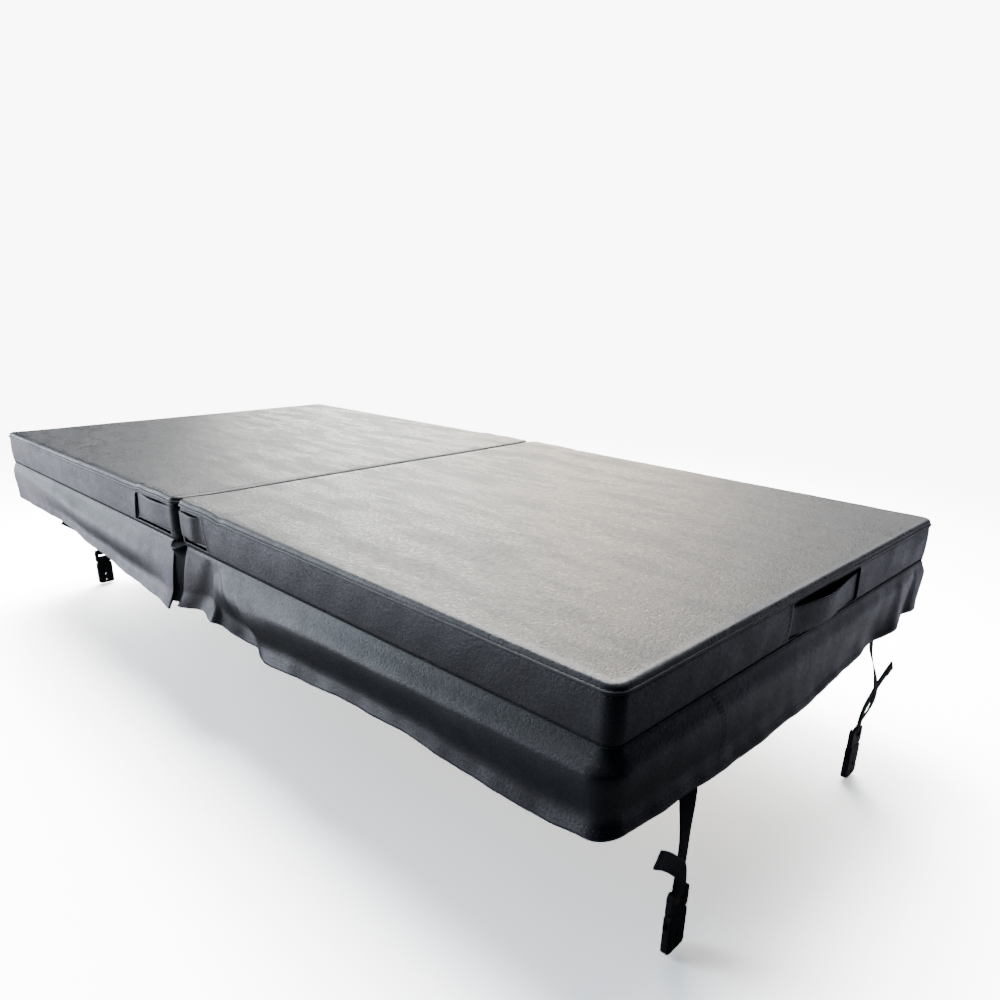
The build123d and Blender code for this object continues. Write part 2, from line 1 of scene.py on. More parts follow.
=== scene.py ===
"""The looks of a two-panel folding hot tub cover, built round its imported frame.

X runs along the cover with the fold at 0, Y across it with the front at negative Y, and Z is up
from the plane in which the cover rests on the tub's rim. All lengths are in metres. Every piece of
a panel is worked out for the right panel, where x is the distance from the fold, and mirrored.
"""

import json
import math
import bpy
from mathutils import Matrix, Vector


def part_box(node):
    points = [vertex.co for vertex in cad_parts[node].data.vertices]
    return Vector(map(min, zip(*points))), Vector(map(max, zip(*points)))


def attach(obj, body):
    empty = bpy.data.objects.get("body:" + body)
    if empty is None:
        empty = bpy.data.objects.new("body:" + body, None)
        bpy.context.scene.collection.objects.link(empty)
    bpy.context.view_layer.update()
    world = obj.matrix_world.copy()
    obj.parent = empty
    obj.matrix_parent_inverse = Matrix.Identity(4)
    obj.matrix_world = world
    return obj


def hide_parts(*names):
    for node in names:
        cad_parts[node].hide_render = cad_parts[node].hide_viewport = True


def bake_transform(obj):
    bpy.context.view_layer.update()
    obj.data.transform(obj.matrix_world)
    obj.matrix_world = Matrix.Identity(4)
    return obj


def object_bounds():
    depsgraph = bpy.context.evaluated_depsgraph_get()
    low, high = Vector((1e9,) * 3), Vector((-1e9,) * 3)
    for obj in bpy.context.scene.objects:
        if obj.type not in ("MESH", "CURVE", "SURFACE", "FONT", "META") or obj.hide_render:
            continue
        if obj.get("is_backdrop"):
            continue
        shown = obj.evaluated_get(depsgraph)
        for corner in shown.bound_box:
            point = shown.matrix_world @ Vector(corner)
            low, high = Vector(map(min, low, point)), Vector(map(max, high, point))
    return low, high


bl_info = {
    "name": "Hot tub cover",
    "version": (1, 0, 0),
    "blender": (4, 5, 0),
    "location": "View3D > Sidebar > Cover",
    "description": "Vinyl, skirts, handles, straps and stitching of a folding hot tub cover",
    "category": "Object",
}

import bmesh
import bpy
import numpy as np
from bpy.props import FloatProperty, FloatVectorProperty, PointerProperty
from mathutils import Matrix, Vector

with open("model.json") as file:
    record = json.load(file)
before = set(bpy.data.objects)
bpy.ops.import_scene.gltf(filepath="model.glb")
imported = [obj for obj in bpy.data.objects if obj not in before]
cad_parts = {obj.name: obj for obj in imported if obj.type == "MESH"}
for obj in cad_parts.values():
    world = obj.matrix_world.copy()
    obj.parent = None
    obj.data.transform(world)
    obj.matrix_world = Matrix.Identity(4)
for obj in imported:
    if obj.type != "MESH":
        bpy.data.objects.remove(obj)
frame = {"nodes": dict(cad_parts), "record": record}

SIDES = {"left": -1.0, "right": 1.0}
CORNERS = {"front": -1.0, "rear": 1.0}

# ---------------------------------------------------------------- sizes

PANEL_LOW, PANEL_HIGH = (np.array(corner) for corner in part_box("right_top_panel"))
HALF_LENGTH = PANEL_HIGH[0]
HALF_WIDTH = PANEL_HIGH[1]
FOLD_GAP = PANEL_LOW[0]  # from the middle of the fold to a panel's wall
TOP_AT_FOLD = PANEL_HIGH[2]
TOP_AT_END = 0.076
CORNER = 0.020  # radius of a panel's upright corners
ROLL = 0.006  # rolled edge of the top sheet
FLANGE = 0.010  # how far the top sheet turns down
VINYL = 0.0015
CROWN = 0.0018  # how far the foam pushes up the middle of the top

WELT_RADIUS = 0.0025
WELT_OUT = 0.0006  # from the outline to the piping's middle
BAND_BULGE = 0.0016
BAND_LIP = 0.0012  # how far the band stands up beside a window
SEAM_TUCK = 0.0022  # how far the vinyl is drawn in at a seam
BAND_AT_FOLD = 0.0745  # height of the side band beside the fold
BAND_AT_END = 0.066
BAND_SEAM = HALF_WIDTH - CORNER - 0.010  # from the middle line to the band's upright seams

ZIP_Z = 0.046  # height of the zip in the fold's wall
ZIP_SLIT = 0.0055  # half the height of the slit for it
WALL_TOP = 0.0715
WALL_PUCKER = 0.0004

SKIRT_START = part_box("right_skirt")[0][0]
SKIRT_SHEET = 0.0016
SKIRT_DROP = 0.118
BELLY = 0.022
BELLY_LEVEL = 0.28  # share of the drop at which the belly is widest
WAIST = 0.004
WAIST_LEVEL = 0.86  # share of the drop by which the belly has died away
FLARE = 0.014
FLARE_LEVEL = 0.74  # share of the drop from which the skirt stands out again
SLIT_TOP = {"left": 0.021, "right": 0.028}  # from the fold to a skirt's edge, at its seam
SLIT_HEM = {"left": 0.001, "right": 0.007}  # and at its hem
HEM_SHARE = 0.115  # of the skirt's drop, doubled by the hem

HINGE_DROP = 0.007  # how far the hinge cloth is sewn down both walls
HINGE_DIP = 0.006  # and hangs between them
HINGE_SHEET = 0.0008

GUSSET_REACH = 0.052
GUSSET_DEPTH = 0.112
GUSSET_TUCK = 0.448  # from the middle line to a gusset's edge, sewn under the cover
GUSSET_BACK = 0.0034  # how far it lies behind the skirts
GUSSET_SHEET = 0.0008
BINDING_RADIUS = 0.0019

HANDLE_REACH = {side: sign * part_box(f"{side}_front_handle")[sign > 0][0] - 0.010
                for side, sign in SIDES.items()}
END_HANDLE_Y = 0.028
END_HANDLE_HALF = 0.115
WINDOW_START = FOLD_GAP + CORNER + 0.004  # from the fold to a window beside it
# A window's foot and top, and the height of the side band there.
WINDOWS = {"fold": (0.008, 0.0655, BAND_AT_FOLD), "end": (0.006, 0.060, BAND_AT_END)}
WINDOW_LEAN = {"fold": 0.018, "end": 0.004}  # how far its slanted ends run out by its foot
GRIP_LAP = 0.009  # how far a handle runs on past its window
# A handle's foot and top, and how far its middle sags and leans.
GRIPS = {"fold": (0.0165, 0.0660, 0.0002, 0.0004), "end": (0.006, 0.054, 0.0035, 0.0016)}
POCKET_SHEET = 0.001
POCKET_LAP = 0.008  # how far a tray runs on past its window
POCKET_RISE = 0.024  # height over which it sinks to its floor
POCKET_RIM = 0.0015  # from the outline to a tray's rim, just behind the side band
POCKET_DEPTH = 0.0070  # and from there to its floor
RECESS_LOW = {"fold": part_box("right_front_handle")[0][2] - 0.0042,
              "end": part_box("right_end_handle")[0][2] - 0.0042}  # where the foam is cut away

SWING_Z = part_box("right_front_strap")[1][2]
STRAP_WIDTH = 0.025
STRAP_THICK = 0.0016
STRAP_SLACK = {("right", "rear"): 0.022, ("left", "front"): 0.008}  # how far a strap bows
LEAST_SLACK = 0.003
TAIL_LENGTH = 0.150
BAR_Z = -0.300
BAR_TURN = 0.0031  # from the middle of the buckle's bar to the webbing round it

STITCH_PITCH = 0.0068
STITCH_LENGTH = 0.0050
STITCH_RADIUS = 0.00042
TACK = (0.004, 0.0036, 0.0006)  # pitch, length and radius of a tack's heavier stitches
HEM_ROWS = (0.945, 0.905)  # the hem's rows, as shares of the drop

# ---------------------------------------------------------------- shapes in the plane


def smooth(t):
    """The smooth step 3tt - 2ttt of t, held between 0 and 1."""
    t = np.clip(t, 0, 1)
    return t * t * (3 - 2 * t)


def eased(x, places, values):
    """Values at a few places, joined by smooth steps."""
    places, values = np.asarray(places, float), np.asarray(values, float)
    i = np.clip(np.searchsorted(places, x, side="right") - 1, 0, len(places) - 2)
    t = (x - places[i]) / (places[i + 1] - places[i])
    return values[i] + (values[i + 1] - values[i]) * smooth(t)


def hump(x, middle, width):
    """A bell: the exponential of minus the square of the distance over the width."""
    return np.exp(-(((x - middle) / width) ** 2))


def softened(wave, power):
    """A sine or cosine to a power, with its sign kept: the lower the power, the squarer the oval."""
    return np.sign(wave) * np.abs(wave) ** power


def unit(ways):
    """Directions made one long."""
    return ways / np.maximum(np.linalg.norm(ways, axis=-1, keepdims=True), 1e-12)


def with_places(base, special, clear=0.003):
    """Sorted samples: all special ones, and the base ones that aren't close to one of them."""
    special = np.unique(np.asarray(special, float))
    far = np.abs(base[:, None] - special[None, :]).min(axis=1) > clear
    return np.sort(np.concatenate([base[far], special]))


class Track:
    """A path round a rounded rectangle, counter-clockwise from the middle of its low-x side.

    It is five straight runs joined by four quarter circles. The place at arc length s is the sum of
    what s covers of each run: s along its heading, or radius times the differences of sine and
    cosine of the heading on a quarter circle.
    """

    def __init__(self, middle, half_x, half_y):
        self.middle, self.half_x, self.half_y = middle, half_x, half_y
        bend = CORNER * math.pi / 2
        wide, deep = 2 * (half_x - CORNER), half_y - CORNER
        self.runs = [deep, bend, wide, bend, 2 * deep, bend, wide, bend, deep]
        self.starts = np.concatenate([[0], np.cumsum(self.runs)])

    def at(self, s, out=0.0):
        """x, y and the outward normal's x and y at arc length s, moved outwards."""
        s = np.asarray(s, float)
        x, y, turned = np.full_like(s, self.middle - self.half_x), np.zeros_like(s), np.zeros_like(s)
        heading = -math.pi / 2
        for i, run in enumerate(self.runs):
            part = np.clip(s - self.starts[i], 0, run)
            if i % 2:
                angle = part / CORNER
                x = x + CORNER * (np.sin(heading + angle) - math.sin(heading))
                y = y + CORNER * (math.cos(heading) - np.cos(heading + angle))
                turned = turned + angle
                heading += math.pi / 2
            else:
                x = x + part * math.cos(heading)
                y = y + part * math.sin(heading)
        nx, ny = np.sin(turned - math.pi / 2), -np.cos(turned - math.pi / 2)
        return x + nx * out, y + ny * out, nx, ny

    def front(self, x):
        """Arc length of a place on the front run."""
        return self.starts[2] + x - (self.middle - self.half_x + CORNER)

    def end(self, y):
        """Arc length of a place on the outer end's run."""
        return self.starts[4] + y + self.half_y - CORNER

    def rear(self, x):
        """Arc length of a place on the rear run."""
        return self.starts[6] + self.middle + self.half_x - CORNER - x

    def samples(self, low, high, spacing, bend_steps=8):
        """Arc lengths between two: evenly spaced on the straights, and closer on the bends."""
        parts = []
        for i, run in enumerate(self.runs):
            steps = bend_steps if i % 2 else max(2, int(round(run / spacing)))
            parts.append(np.linspace(self.starts[i], self.starts[i] + run, steps, endpoint=False))
        whole = np.concatenate(parts + [[self.starts[-1]]])
        inner = whole[(whole > low + spacing / 3) & (whole < high - spacing / 3)]
        return np.concatenate([[low], inner, [high]])


PANEL = Track(PANEL_LOW[0] / 2 + HALF_LENGTH / 2, (HALF_LENGTH - FOLD_GAP) / 2, HALF_WIDTH)
COVER = Track(0.0, HALF_LENGTH, HALF_WIDTH)


def edge_height(side, x, y):
    """Height of the top's edge: the foam's slope, a faint wave, and lifts by the fold's ends.

    The lifts die away from the front and the rear as a bell.
    """
    slope = TOP_AT_FOLD + (TOP_AT_END - TOP_AT_FOLD) * np.clip(x, 0, None) / HALF_LENGTH
    front, rear = hump(y, -HALF_WIDTH, 0.05), hump(y, HALF_WIDTH, 0.05)
    wave = 0.0003 * np.sin(41 * x + 3 * y) * np.sin(17 * y + 23 * x + 1)
    if side == "left":
        places = [0.010, 0.030, 0.070, 0.120, 0.155, 0.185, 0.300, 0.640, 0.990]
        lifts = [0.0020, 0.0008, 0.0027, 0.0016, 0.0036, -0.0004, 0.0002, 0.0, 0.0010]
    else:
        places = [0.010, 0.030, 0.060, 0.100, 0.135, 0.168, 0.185, 0.300, 0.990]
        lifts = [0.0026, 0.0036, 0.0022, 0.0036, 0.0030, -0.0008, 0.0014, 0.0006, 0.0]
    return slope + wave + front * eased(x, places, lifts) + rear * 0.6 * eased(x, places, lifts)


# ---------------------------------------------------------------- meshes


def mesh_object(name, points, faces, smooth=True):
    """A mesh object from arrays of points and of faces with as many corners each."""
    faces = np.asarray(faces)
    used, where = np.unique(faces, return_inverse=True)
    mesh = bpy.data.meshes.new(name)
    mesh.from_pydata(np.asarray(points)[used].tolist(), [], where.reshape(faces.shape).tolist())
    mesh.polygons.foreach_set("use_smooth", np.full(len(mesh.polygons), smooth))
    mesh.update()
    thing = bpy.data.objects.new(name, mesh)
    bpy.context.scene.collection.objects.link(thing)
    return thing


def grid_faces(rows, columns, ring=False, skip=None, flip=False):
    """Quads between the neighbours of a grid, whose last column may join the first."""
    index = np.arange(rows * columns).reshape(rows, columns)
    left = index if ring else index[:, :-1]
    right = np.roll(index, -1, axis=1) if ring else index[:, 1:]
    quads = np.stack([left[:-1], right[:-1], right[1:], left[1:]], axis=-1)
    quads = quads[~skip] if skip is not None else quads.reshape(-1, 4)
    return quads[:, ::-1] if flip else quads


def merged_object(name, parts):
    """One piece from several arrays of points, each with its own faces."""
    points, faces, count = [], [], 0
    for part_points, part_faces in parts:
        points.append(part_points.reshape(-1, 3))
        faces.append(part_faces + count)
        count += len(points[-1])
    return mesh_object(name, np.concatenate(points), np.concatenate(faces))


def grid_object(name, points, ring=False, skip=None, flip=False):
    """One piece from points in rows and columns."""
    rows, columns = points.shape[:2]
    faces = grid_faces(rows, columns, ring, skip, flip)
    return mesh_object(name, points.reshape(-1, 3), faces)


def capped_tube(name, points):
    """A closed piece from rings of points: its first and last ring are shut by a middle point."""
    columns = points.shape[1]
    first, last = points[:1].mean(axis=1, keepdims=True), points[-1:].mean(axis=1, keepdims=True)
    ends = [np.repeat(end, columns, axis=1) for end in (first, last)]
    whole = np.concatenate([ends[0], points, ends[1]])
    thing = grid_object(name, whole, ring=True)
    tidy(thing)
    return thing


def tidy(thing):
    """Merges coincident points, drops what that flattens and points every face outwards."""
    work = bmesh.new()
    work.from_mesh(thing.data)
    bmesh.ops.remove_doubles(work, verts=work.verts, dist=1e-6)
    bmesh.ops.dissolve_degenerate(work, dist=1e-7, edges=work.edges)
    bmesh.ops.recalc_face_normals(work, faces=work.faces)
    work.to_mesh(thing.data)
    work.free()


def thicken(thing, thickness):
    """Gives a sheet its wall behind its face, with a Solidify modifier."""
    solid = thing.modifiers.new("wall", "SOLIDIFY")
    solid.thickness = thickness
    solid.offset = -1
    solid.use_even_offset = True


def settle(thing):
    """Puts the result of a piece's modifiers into its mesh."""
    bpy.context.view_layer.update()
    shaped = thing.evaluated_get(bpy.context.evaluated_depsgraph_get())
    mesh = bpy.data.meshes.new_from_object(shaped)
    thing.modifiers.clear()
    thing.data = mesh


def mark(thing, name, values):
    """A number on each point, which a material can read."""
    layer = thing.data.attributes.new(name, "FLOAT", "POINT")
    layer.data.foreach_set("value", np.asarray(values, np.float32).ravel())


def finish_piece(thing, material, body, *nodes, slot=None):
    """Gives a piece its material and its body, and hides the nodes it stands for; its slot is not used."""
    thing.data.materials.clear()
    thing.data.materials.append(MATERIALS[material])
    if body:
        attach(thing, body)
    if nodes:
        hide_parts(*nodes)
    return thing


def joined(x, y, z):
    """Points from arrays, or single values, of their parts."""
    return np.stack(np.broadcast_arrays(x, y, z), axis=-1)


def placed(side, x, y, z):
    """Points from their parts, mirrored for the left side."""
    return joined(SIDES[side] * np.asarray(x), y, z)


def normals_of(surface, s, v, turn=1.0, step=1e-4):
    """Outward normals of a surface of two parameters, from its differences along both."""
    along = surface(s + step, v) - surface(s - step, v)
    across = surface(s, v + step) - surface(s, v - step)
    return unit(turn * np.cross(along, across))


# ---------------------------------------------------------------- stitches


def stitch_row(path, normal, pitch=STITCH_PITCH, length=STITCH_LENGTH, radius=STITCH_RADIUS):
    """Threads along a path: each is a pole, two five-sided rings and a pole, sunk at its ends.

    The path and its normals are read at even steps of its length, and each thread is one small
    shape laid along the path there, with its side the cross product of the path and the normal.
    """
    steps = np.linalg.norm(np.diff(path, axis=0), axis=1)
    run = np.concatenate([[0], np.cumsum(steps)])
    places = np.arange(pitch / 2, run[-1], pitch)

    def read(rows, shift=0.0):
        return np.stack([np.interp(places + shift, run, part) for part in rows.T], axis=1)

    middle, up = read(path), read(normal)
    back, ahead = read(path, -length / 2), read(path, length / 2)
    along = unit(ahead - back)
    up = unit(up - along * (up * along).sum(axis=1, keepdims=True))
    side = np.cross(along, up)
    angle = np.arange(5) * 2 * math.pi / 5 + 0.3
    ring = np.stack([np.full(5, 0.30), np.cos(angle), np.sin(angle) + 0.25], axis=1)
    half = np.concatenate([[[0.5, 0, -0.9]], ring])
    shape = np.concatenate([half * [-1, 1, 1], half[::-1]])
    spot = shape[None] * [length, radius, radius]
    points = middle[:, None] + spot[..., :1] * along[:, None] + spot[..., 1:2] * side[:, None]
    points = points + spot[..., 2:] * up[:, None]
    faces = []
    for i in range(5):
        j = (i + 1) % 5
        faces += [(0, 1 + i, 1 + j), (11, 10 - i, 10 - j)]
        faces += [(1 + j, 1 + i, 10 - i), (1 + j, 10 - i, 10 - j)]
    offsets = 12 * np.arange(len(places))[:, None, None]
    return points, (np.array(faces)[None] + offsets).reshape(-1, 3)


def stitch_object(name, rows):
    """All rows of stitches in one piece, with their faces outwards."""
    thing = merged_object(name, rows)
    tidy(thing)
    return thing


# ---------------------------------------------------------------- the panel's vinyl


def windows(side):
    """The handle windows: two ends as arc lengths, foot, top, height of the band there, and leans.

    A lean is how far that end has moved along the band by the window's foot.
    """
    reach = HANDLE_REACH[side]
    low, high = END_HANDLE_Y - END_HANDLE_HALF, END_HANDLE_Y + END_HANDLE_HALF
    fold, end = WINDOW_LEAN["fold"], WINDOW_LEAN["end"]
    return [
        (PANEL.front(WINDOW_START), PANEL.front(reach), *WINDOWS["fold"], 0.0, fold),
        (PANEL.end(low), PANEL.end(high), *WINDOWS["end"], -end, end),
        (PANEL.rear(reach), PANEL.rear(WINDOW_START), *WINDOWS["fold"], -fold, 0.0),
    ]


def band_surface(side):
    """The side band at arc length s and height share v.

    It is the panel's outline, moved out by a shallow arch 4v(1 - v), drawn in at both seams, and by
    the lips of the windows, whose ends lean by a share that grows towards the foot.
    """
    holes = windows(side)

    def surface(s, v):
        s, v = np.broadcast_arrays(np.asarray(s, float), np.asarray(v, float))
        shift, lip = 0.0, 0.0
        for low, high, foot, top, tall, lean_low, lean_high in holes:
            share = np.clip(1 - v, 0, 1) ** 1.5
            shift = shift + lean_low * share * hump(s, low, 0.025)
            shift = shift + lean_high * share * hump(s, high, 0.025)
            beside = (v * tall > foot - 0.004) & (v * tall < top + 0.004)
            lip = lip + BAND_LIP * beside * (hump(s, low, 0.005) + hump(s, high, 0.005))
        x, y, nx, ny = PANEL.at(s + shift)
        arch = BAND_BULGE * 4 * v * (1 - v)
        seams = SEAM_TUCK * (hump(v, 0, 0.045) + 0.6 * hump(v, 1, 0.05))
        ripple = 0.00045 * np.sin(31 * s + 2 * v) + 0.0003 * np.sin(83 * s - 3 * v + 1)
        out = arch - seams + lip + ripple * np.clip(4 * v * (1 - v), 0, 1)
        top = edge_height(side, x, y) - FLANGE
        return placed(side, x + nx * out, y + ny * out, v * top)

    return surface


def window_mask(holes, s, v):
    """Which faces of a grid lie in a window."""
    middle_s, middle_v = (s[1:] + s[:-1]) / 2, (v[1:] + v[:-1]) / 2
    mask = np.zeros((len(middle_v), len(middle_s)), bool)
    for low, high, foot, top, tall, *_ in holes:
        inside_s = (middle_s > low) & (middle_s < high)
        inside_v = (middle_v * tall > foot) & (middle_v * tall < top)
        mask |= inside_v[:, None] & inside_s[None, :]
    return mask


def build_band(side):
    """The side band, from one upright seam of the fold's wall round to the other."""
    holes = windows(side)
    whole = PANEL.samples(BAND_SEAM, PANEL.starts[-1] - BAND_SEAM, 0.006, 10)
    s = with_places(whole, [edge for hole in holes for edge in hole[:2]])
    levels = {height / hole[4] for hole in holes for height in hole[2:4]}
    rows = np.concatenate([np.linspace(0, 0.12, 5)[:-1], np.linspace(0.12, 0.9, 22)[:-1],
                           np.linspace(0.9, 1, 5)])
    v = with_places(rows, sorted(levels), 0.008)
    points = band_surface(side)(s[None, :], v[:, None])
    mask = window_mask(holes, s, v)
    band = grid_object(f"{side}_side_band_skin", points, skip=mask, flip=side == "left")
    thicken(band, VINYL)
    return finish_piece(band, "side_vinyl", f"{side}_panel", f"{side}_side_band")


def build_fold_wall(side):
    """The wall inside the fold, with the slit for the zip.

    It is flat but for a pucker along the slit: a sine along Y under a bell in height.
    """
    zip_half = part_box(f"{side}_zip_tapes")[1][1]
    y = with_places(np.linspace(-BAND_SEAM, BAND_SEAM, 130), [-zip_half, zip_half])
    below, above = ZIP_Z - ZIP_SLIT, ZIP_Z + ZIP_SLIT
    z = np.concatenate([np.linspace(0, below, 9), np.linspace(above, WALL_TOP, 6)])
    grid_y, grid_z = np.meshgrid(y, z)
    x = FOLD_GAP + 0.0002 - WALL_PUCKER * np.sin(95 * grid_y) * hump(grid_z, ZIP_Z, 0.016)
    middle_y, middle_z = (y[1:] + y[:-1]) / 2, (z[1:] + z[:-1]) / 2
    slit = (np.abs(middle_z - ZIP_Z) < ZIP_SLIT)[:, None] & (np.abs(middle_y) < zip_half)[None, :]
    points = placed(side, x, grid_y, grid_z)
    wall = grid_object(f"{side}_fold_wall_skin", points, skip=slit, flip=side == "right")
    thicken(wall, VINYL)
    return finish_piece(wall, "side_vinyl", f"{side}_panel", f"{side}_fold_wall")


def top_rings(side):
    """The top sheet: rings of the outline, up its flange, over the rolled edge and in to the middle.

    Inside the roll, a quarter circle, each ring is the outline drawn towards the panel's middle by
    one factor. Its height is the edge's, a crown of (1 - X^4)(1 - Y^4) and a faint unevenness of
    crossed sines. Also gives each point's marks for pressed relief and for wear with a painted
    highlight, which lightens the rolled edge and the ring just inside it.
    """
    s = PANEL.samples(0, PANEL.starts[-1], 0.0085, 9)[:-1]
    angle = np.linspace(0, math.pi / 2, 9)
    depth = np.concatenate([[FLANGE, 0.9 * FLANGE, 0.78 * FLANGE], ROLL * (1 - np.sin(angle))])
    out = np.concatenate([[-0.0012, 0.0004, 0.0007], -ROLL * (1 - np.cos(angle))])
    out[3:] += 0.0006 * (1 - np.sin(angle))
    x, y, nx, ny = PANEL.at(s)
    edge = edge_height(side, x, y)
    ring_x, ring_y = x + nx * out[:, None], y + ny * out[:, None]
    ring_z = edge - depth[:, None]
    shares = np.concatenate([[0.994, 0.986, 0.975], np.linspace(0.96, 0.02, 58)])
    middle = PANEL.middle
    inner_x = middle + (ring_x[-1] - middle) * shares[:, None]
    inner_y = ring_y[-1] * shares[:, None]
    across_x, across_y = (inner_x - middle) / PANEL.half_x, inner_y / HALF_WIDTH
    crown = CROWN * (1 - across_x**4) * (1 - across_y**4)
    uneven = (np.sin(9 * inner_x + 4 * inner_y) * np.sin(11 * inner_y - 3 * inner_x + 0.7)
              + 0.6 * np.sin(23 * inner_x - 8 * inner_y + 2) * np.sin(19 * inner_y + 5 * inner_x))
    inner_z = edge_height(side, inner_x, inner_y) + crown + 0.00035 * uneven
    rings = placed(side, np.vstack([ring_x, inner_x]), np.vstack([ring_y, inner_y]),
                   np.vstack([ring_z, inner_z]))
    # Wear marks: the middle of the rolled edge and the ring inside it, lightened as wear and as a painted
    # highlight.
    wear_and_highlight = np.concatenate([hump(out, -0.0025, 0.0022), 0.35 * hump(1 - shares, 0, 0.01)])
    pressed = np.concatenate([np.ones(len(out)), hump(1 - shares, 0.006, 0.012)])
    return rings, [np.repeat(row[:, None], len(s), axis=1) for row in (wear_and_highlight, pressed)]


def build_top(side):
    """The top sheet of one panel."""
    rings, (wear_and_highlight, pressed) = top_rings(side)
    rows, columns = rings.shape[:2]
    faces = grid_faces(rows, columns, ring=True, flip=side == "left")
    top = mesh_object(f"{side}_top_sheet", rings.reshape(-1, 3), faces)
    cap = np.arange(columns)[::-1] if side == "left" else np.arange(columns)
    add_cap(top, (rows - 1) * columns + cap)
    # This mark lightens the rolled edge: wear, and a painted highlight on its ridge.
    mark(top, "wear_and_highlight", wear_and_highlight)
    mark(top, "pressed", pressed)
    thicken(top, VINYL)
    finish_piece(top, "top_vinyl", f"{side}_panel", f"{side}_top_panel")
    return top


def add_cap(thing, loop):
    """Shuts the small hole in the middle of a ring mesh with one face."""
    work = bmesh.new()
    work.from_mesh(thing.data)
    work.verts.ensure_lookup_table()
    face = work.faces.new([work.verts[i] for i in loop])
    face.smooth = True
    work.to_mesh(thing.data)
    work.free()


def build_welt(side):
    """The piping: a circle carried along the seam, with its middle just outside the outline.

    Its radius swells and shrinks faintly by a sine of the arc length.
    """
    s = PANEL.samples(0, PANEL.starts[-1], 0.008, 9)[:-1]
    angle = np.linspace(0, 2 * math.pi, 10, endpoint=False)
    x, y, nx, ny = PANEL.at(s)
    centre = edge_height(side, x, y) - FLANGE
    swell = 1 + 0.02 * np.sin(160 * s)
    radial = WELT_OUT + WELT_RADIUS * np.cos(angle)[:, None] * swell
    height = centre + WELT_RADIUS * np.sin(angle)[:, None] * swell
    points = placed(side, x + nx * radial, y + ny * radial, height)
    faces = grid_faces(len(angle) + 1, len(s), ring=True, flip=side == "left") % (len(angle) * len(s))
    welt = mesh_object(f"{side}_welt_piping", points.reshape(-1, 3), faces)
    tidy(welt)
    return finish_piece(welt, "welt_vinyl", f"{side}_panel", f"{side}_welt")


# ---------------------------------------------------------------- skirts

# The hem's depth below the seam, along each edge: (place, depth). A place is the distance from the
# fold along the front and the rear, and Y along the end.
HEM = {
    "left": {
        "front": [(0.0, 0.126), (0.06, 0.119), (0.15, 0.117), (0.235, 0.120), (0.39, 0.110),
                  (0.635, 0.095), (0.91, 0.096), (0.985, 0.099)],
        "end": [(-0.48, 0.100), (-0.2, 0.112), (0.1, 0.118), (0.3, 0.112), (0.48, 0.104)],
        "rear": [(0.0, 0.116), (0.15, 0.108), (0.4, 0.115), (0.7, 0.110), (0.98, 0.106)],
    },
    "right": {
        "front": [(0.0, 0.121), (0.135, 0.111), (0.24, 0.126), (0.33, 0.128), (0.43, 0.124),
                  (0.52, 0.118), (0.665, 0.114), (0.80, 0.117), (0.92, 0.116), (0.985, 0.110)],
        "end": [(-0.48, 0.106), (-0.36, 0.114), (-0.19, 0.122), (-0.03, 0.120), (0.14, 0.109),
                (0.25, 0.106), (0.43, 0.098), (0.48, 0.100)],
        "rear": [(0.0, 0.114), (0.2, 0.118), (0.45, 0.110), (0.75, 0.116), (0.98, 0.104)],
    },
}

# Folds in the skirts: (edge, place where it starts, place at the hem, share of the drop where it
# starts, width at the hem, how far it stands out at the hem). A pair of widths is a steeper side.
FOLDS = {
    "left": [
        ("front", 0.000, 0.000, 0.05, 0.190, 0.024),
        ("front", 0.110, 0.060, 0.25, 0.034, -0.0028),
        ("front", 0.190, 0.150, 0.30, 0.045, -0.0022),
        ("front", 0.640, 0.600, 0.20, 0.120, -0.0040),
        ("end", -0.250, -0.230, 0.20, 0.090, 0.0060),
        ("end", 0.180, 0.200, 0.25, 0.100, -0.0040),
        ("rear", 0.000, 0.000, 0.05, 0.070, 0.0180),
        ("rear", 0.170, 0.140, 0.10, 0.040, -0.0070),
        ("rear", 0.520, 0.500, 0.20, 0.110, 0.0060),
    ],
    "right": [
        ("front", 0.015, 0.005, 0.04, 0.050, 0.0110),
        ("front", 0.110, 0.078, 0.07, (0.034, 0.028), -0.0090),
        ("front", 0.128, 0.140, 0.05, (0.030, 0.013), 0.0080),
        ("front", 0.150, 0.262, 0.12, (0.064, 0.021), -0.0125),
        ("front", 0.230, 0.325, 0.22, (0.026, 0.110), 0.0095),
        ("front", 0.560, 0.560, 0.30, 0.130, -0.0030),
        ("end", -0.100, -0.060, 0.20, 0.160, 0.0030),
        ("end", 0.270, 0.255, 0.10, 0.045, -0.0060),
        ("end", 0.355, 0.345, 0.05, 0.035, 0.0080),
        ("end", 0.425, 0.420, 0.05, 0.024, -0.0080),
        ("rear", 0.000, 0.000, 0.05, 0.060, 0.0160),
        ("rear", 0.120, 0.100, 0.08, 0.035, -0.0080),
        ("rear", 0.300, 0.340, 0.20, 0.090, 0.0070),
        ("rear", 0.760, 0.740, 0.20, 0.100, 0.0050),
    ],
}


def shares_of_edges(ny):
    """How far a place belongs to the front, the end and the rear: its squared normal's parts."""
    front, rear = np.clip(-ny, 0, 1) ** 2, np.clip(ny, 0, 1) ** 2
    return {"front": front, "end": 1 - front - rear, "rear": rear}


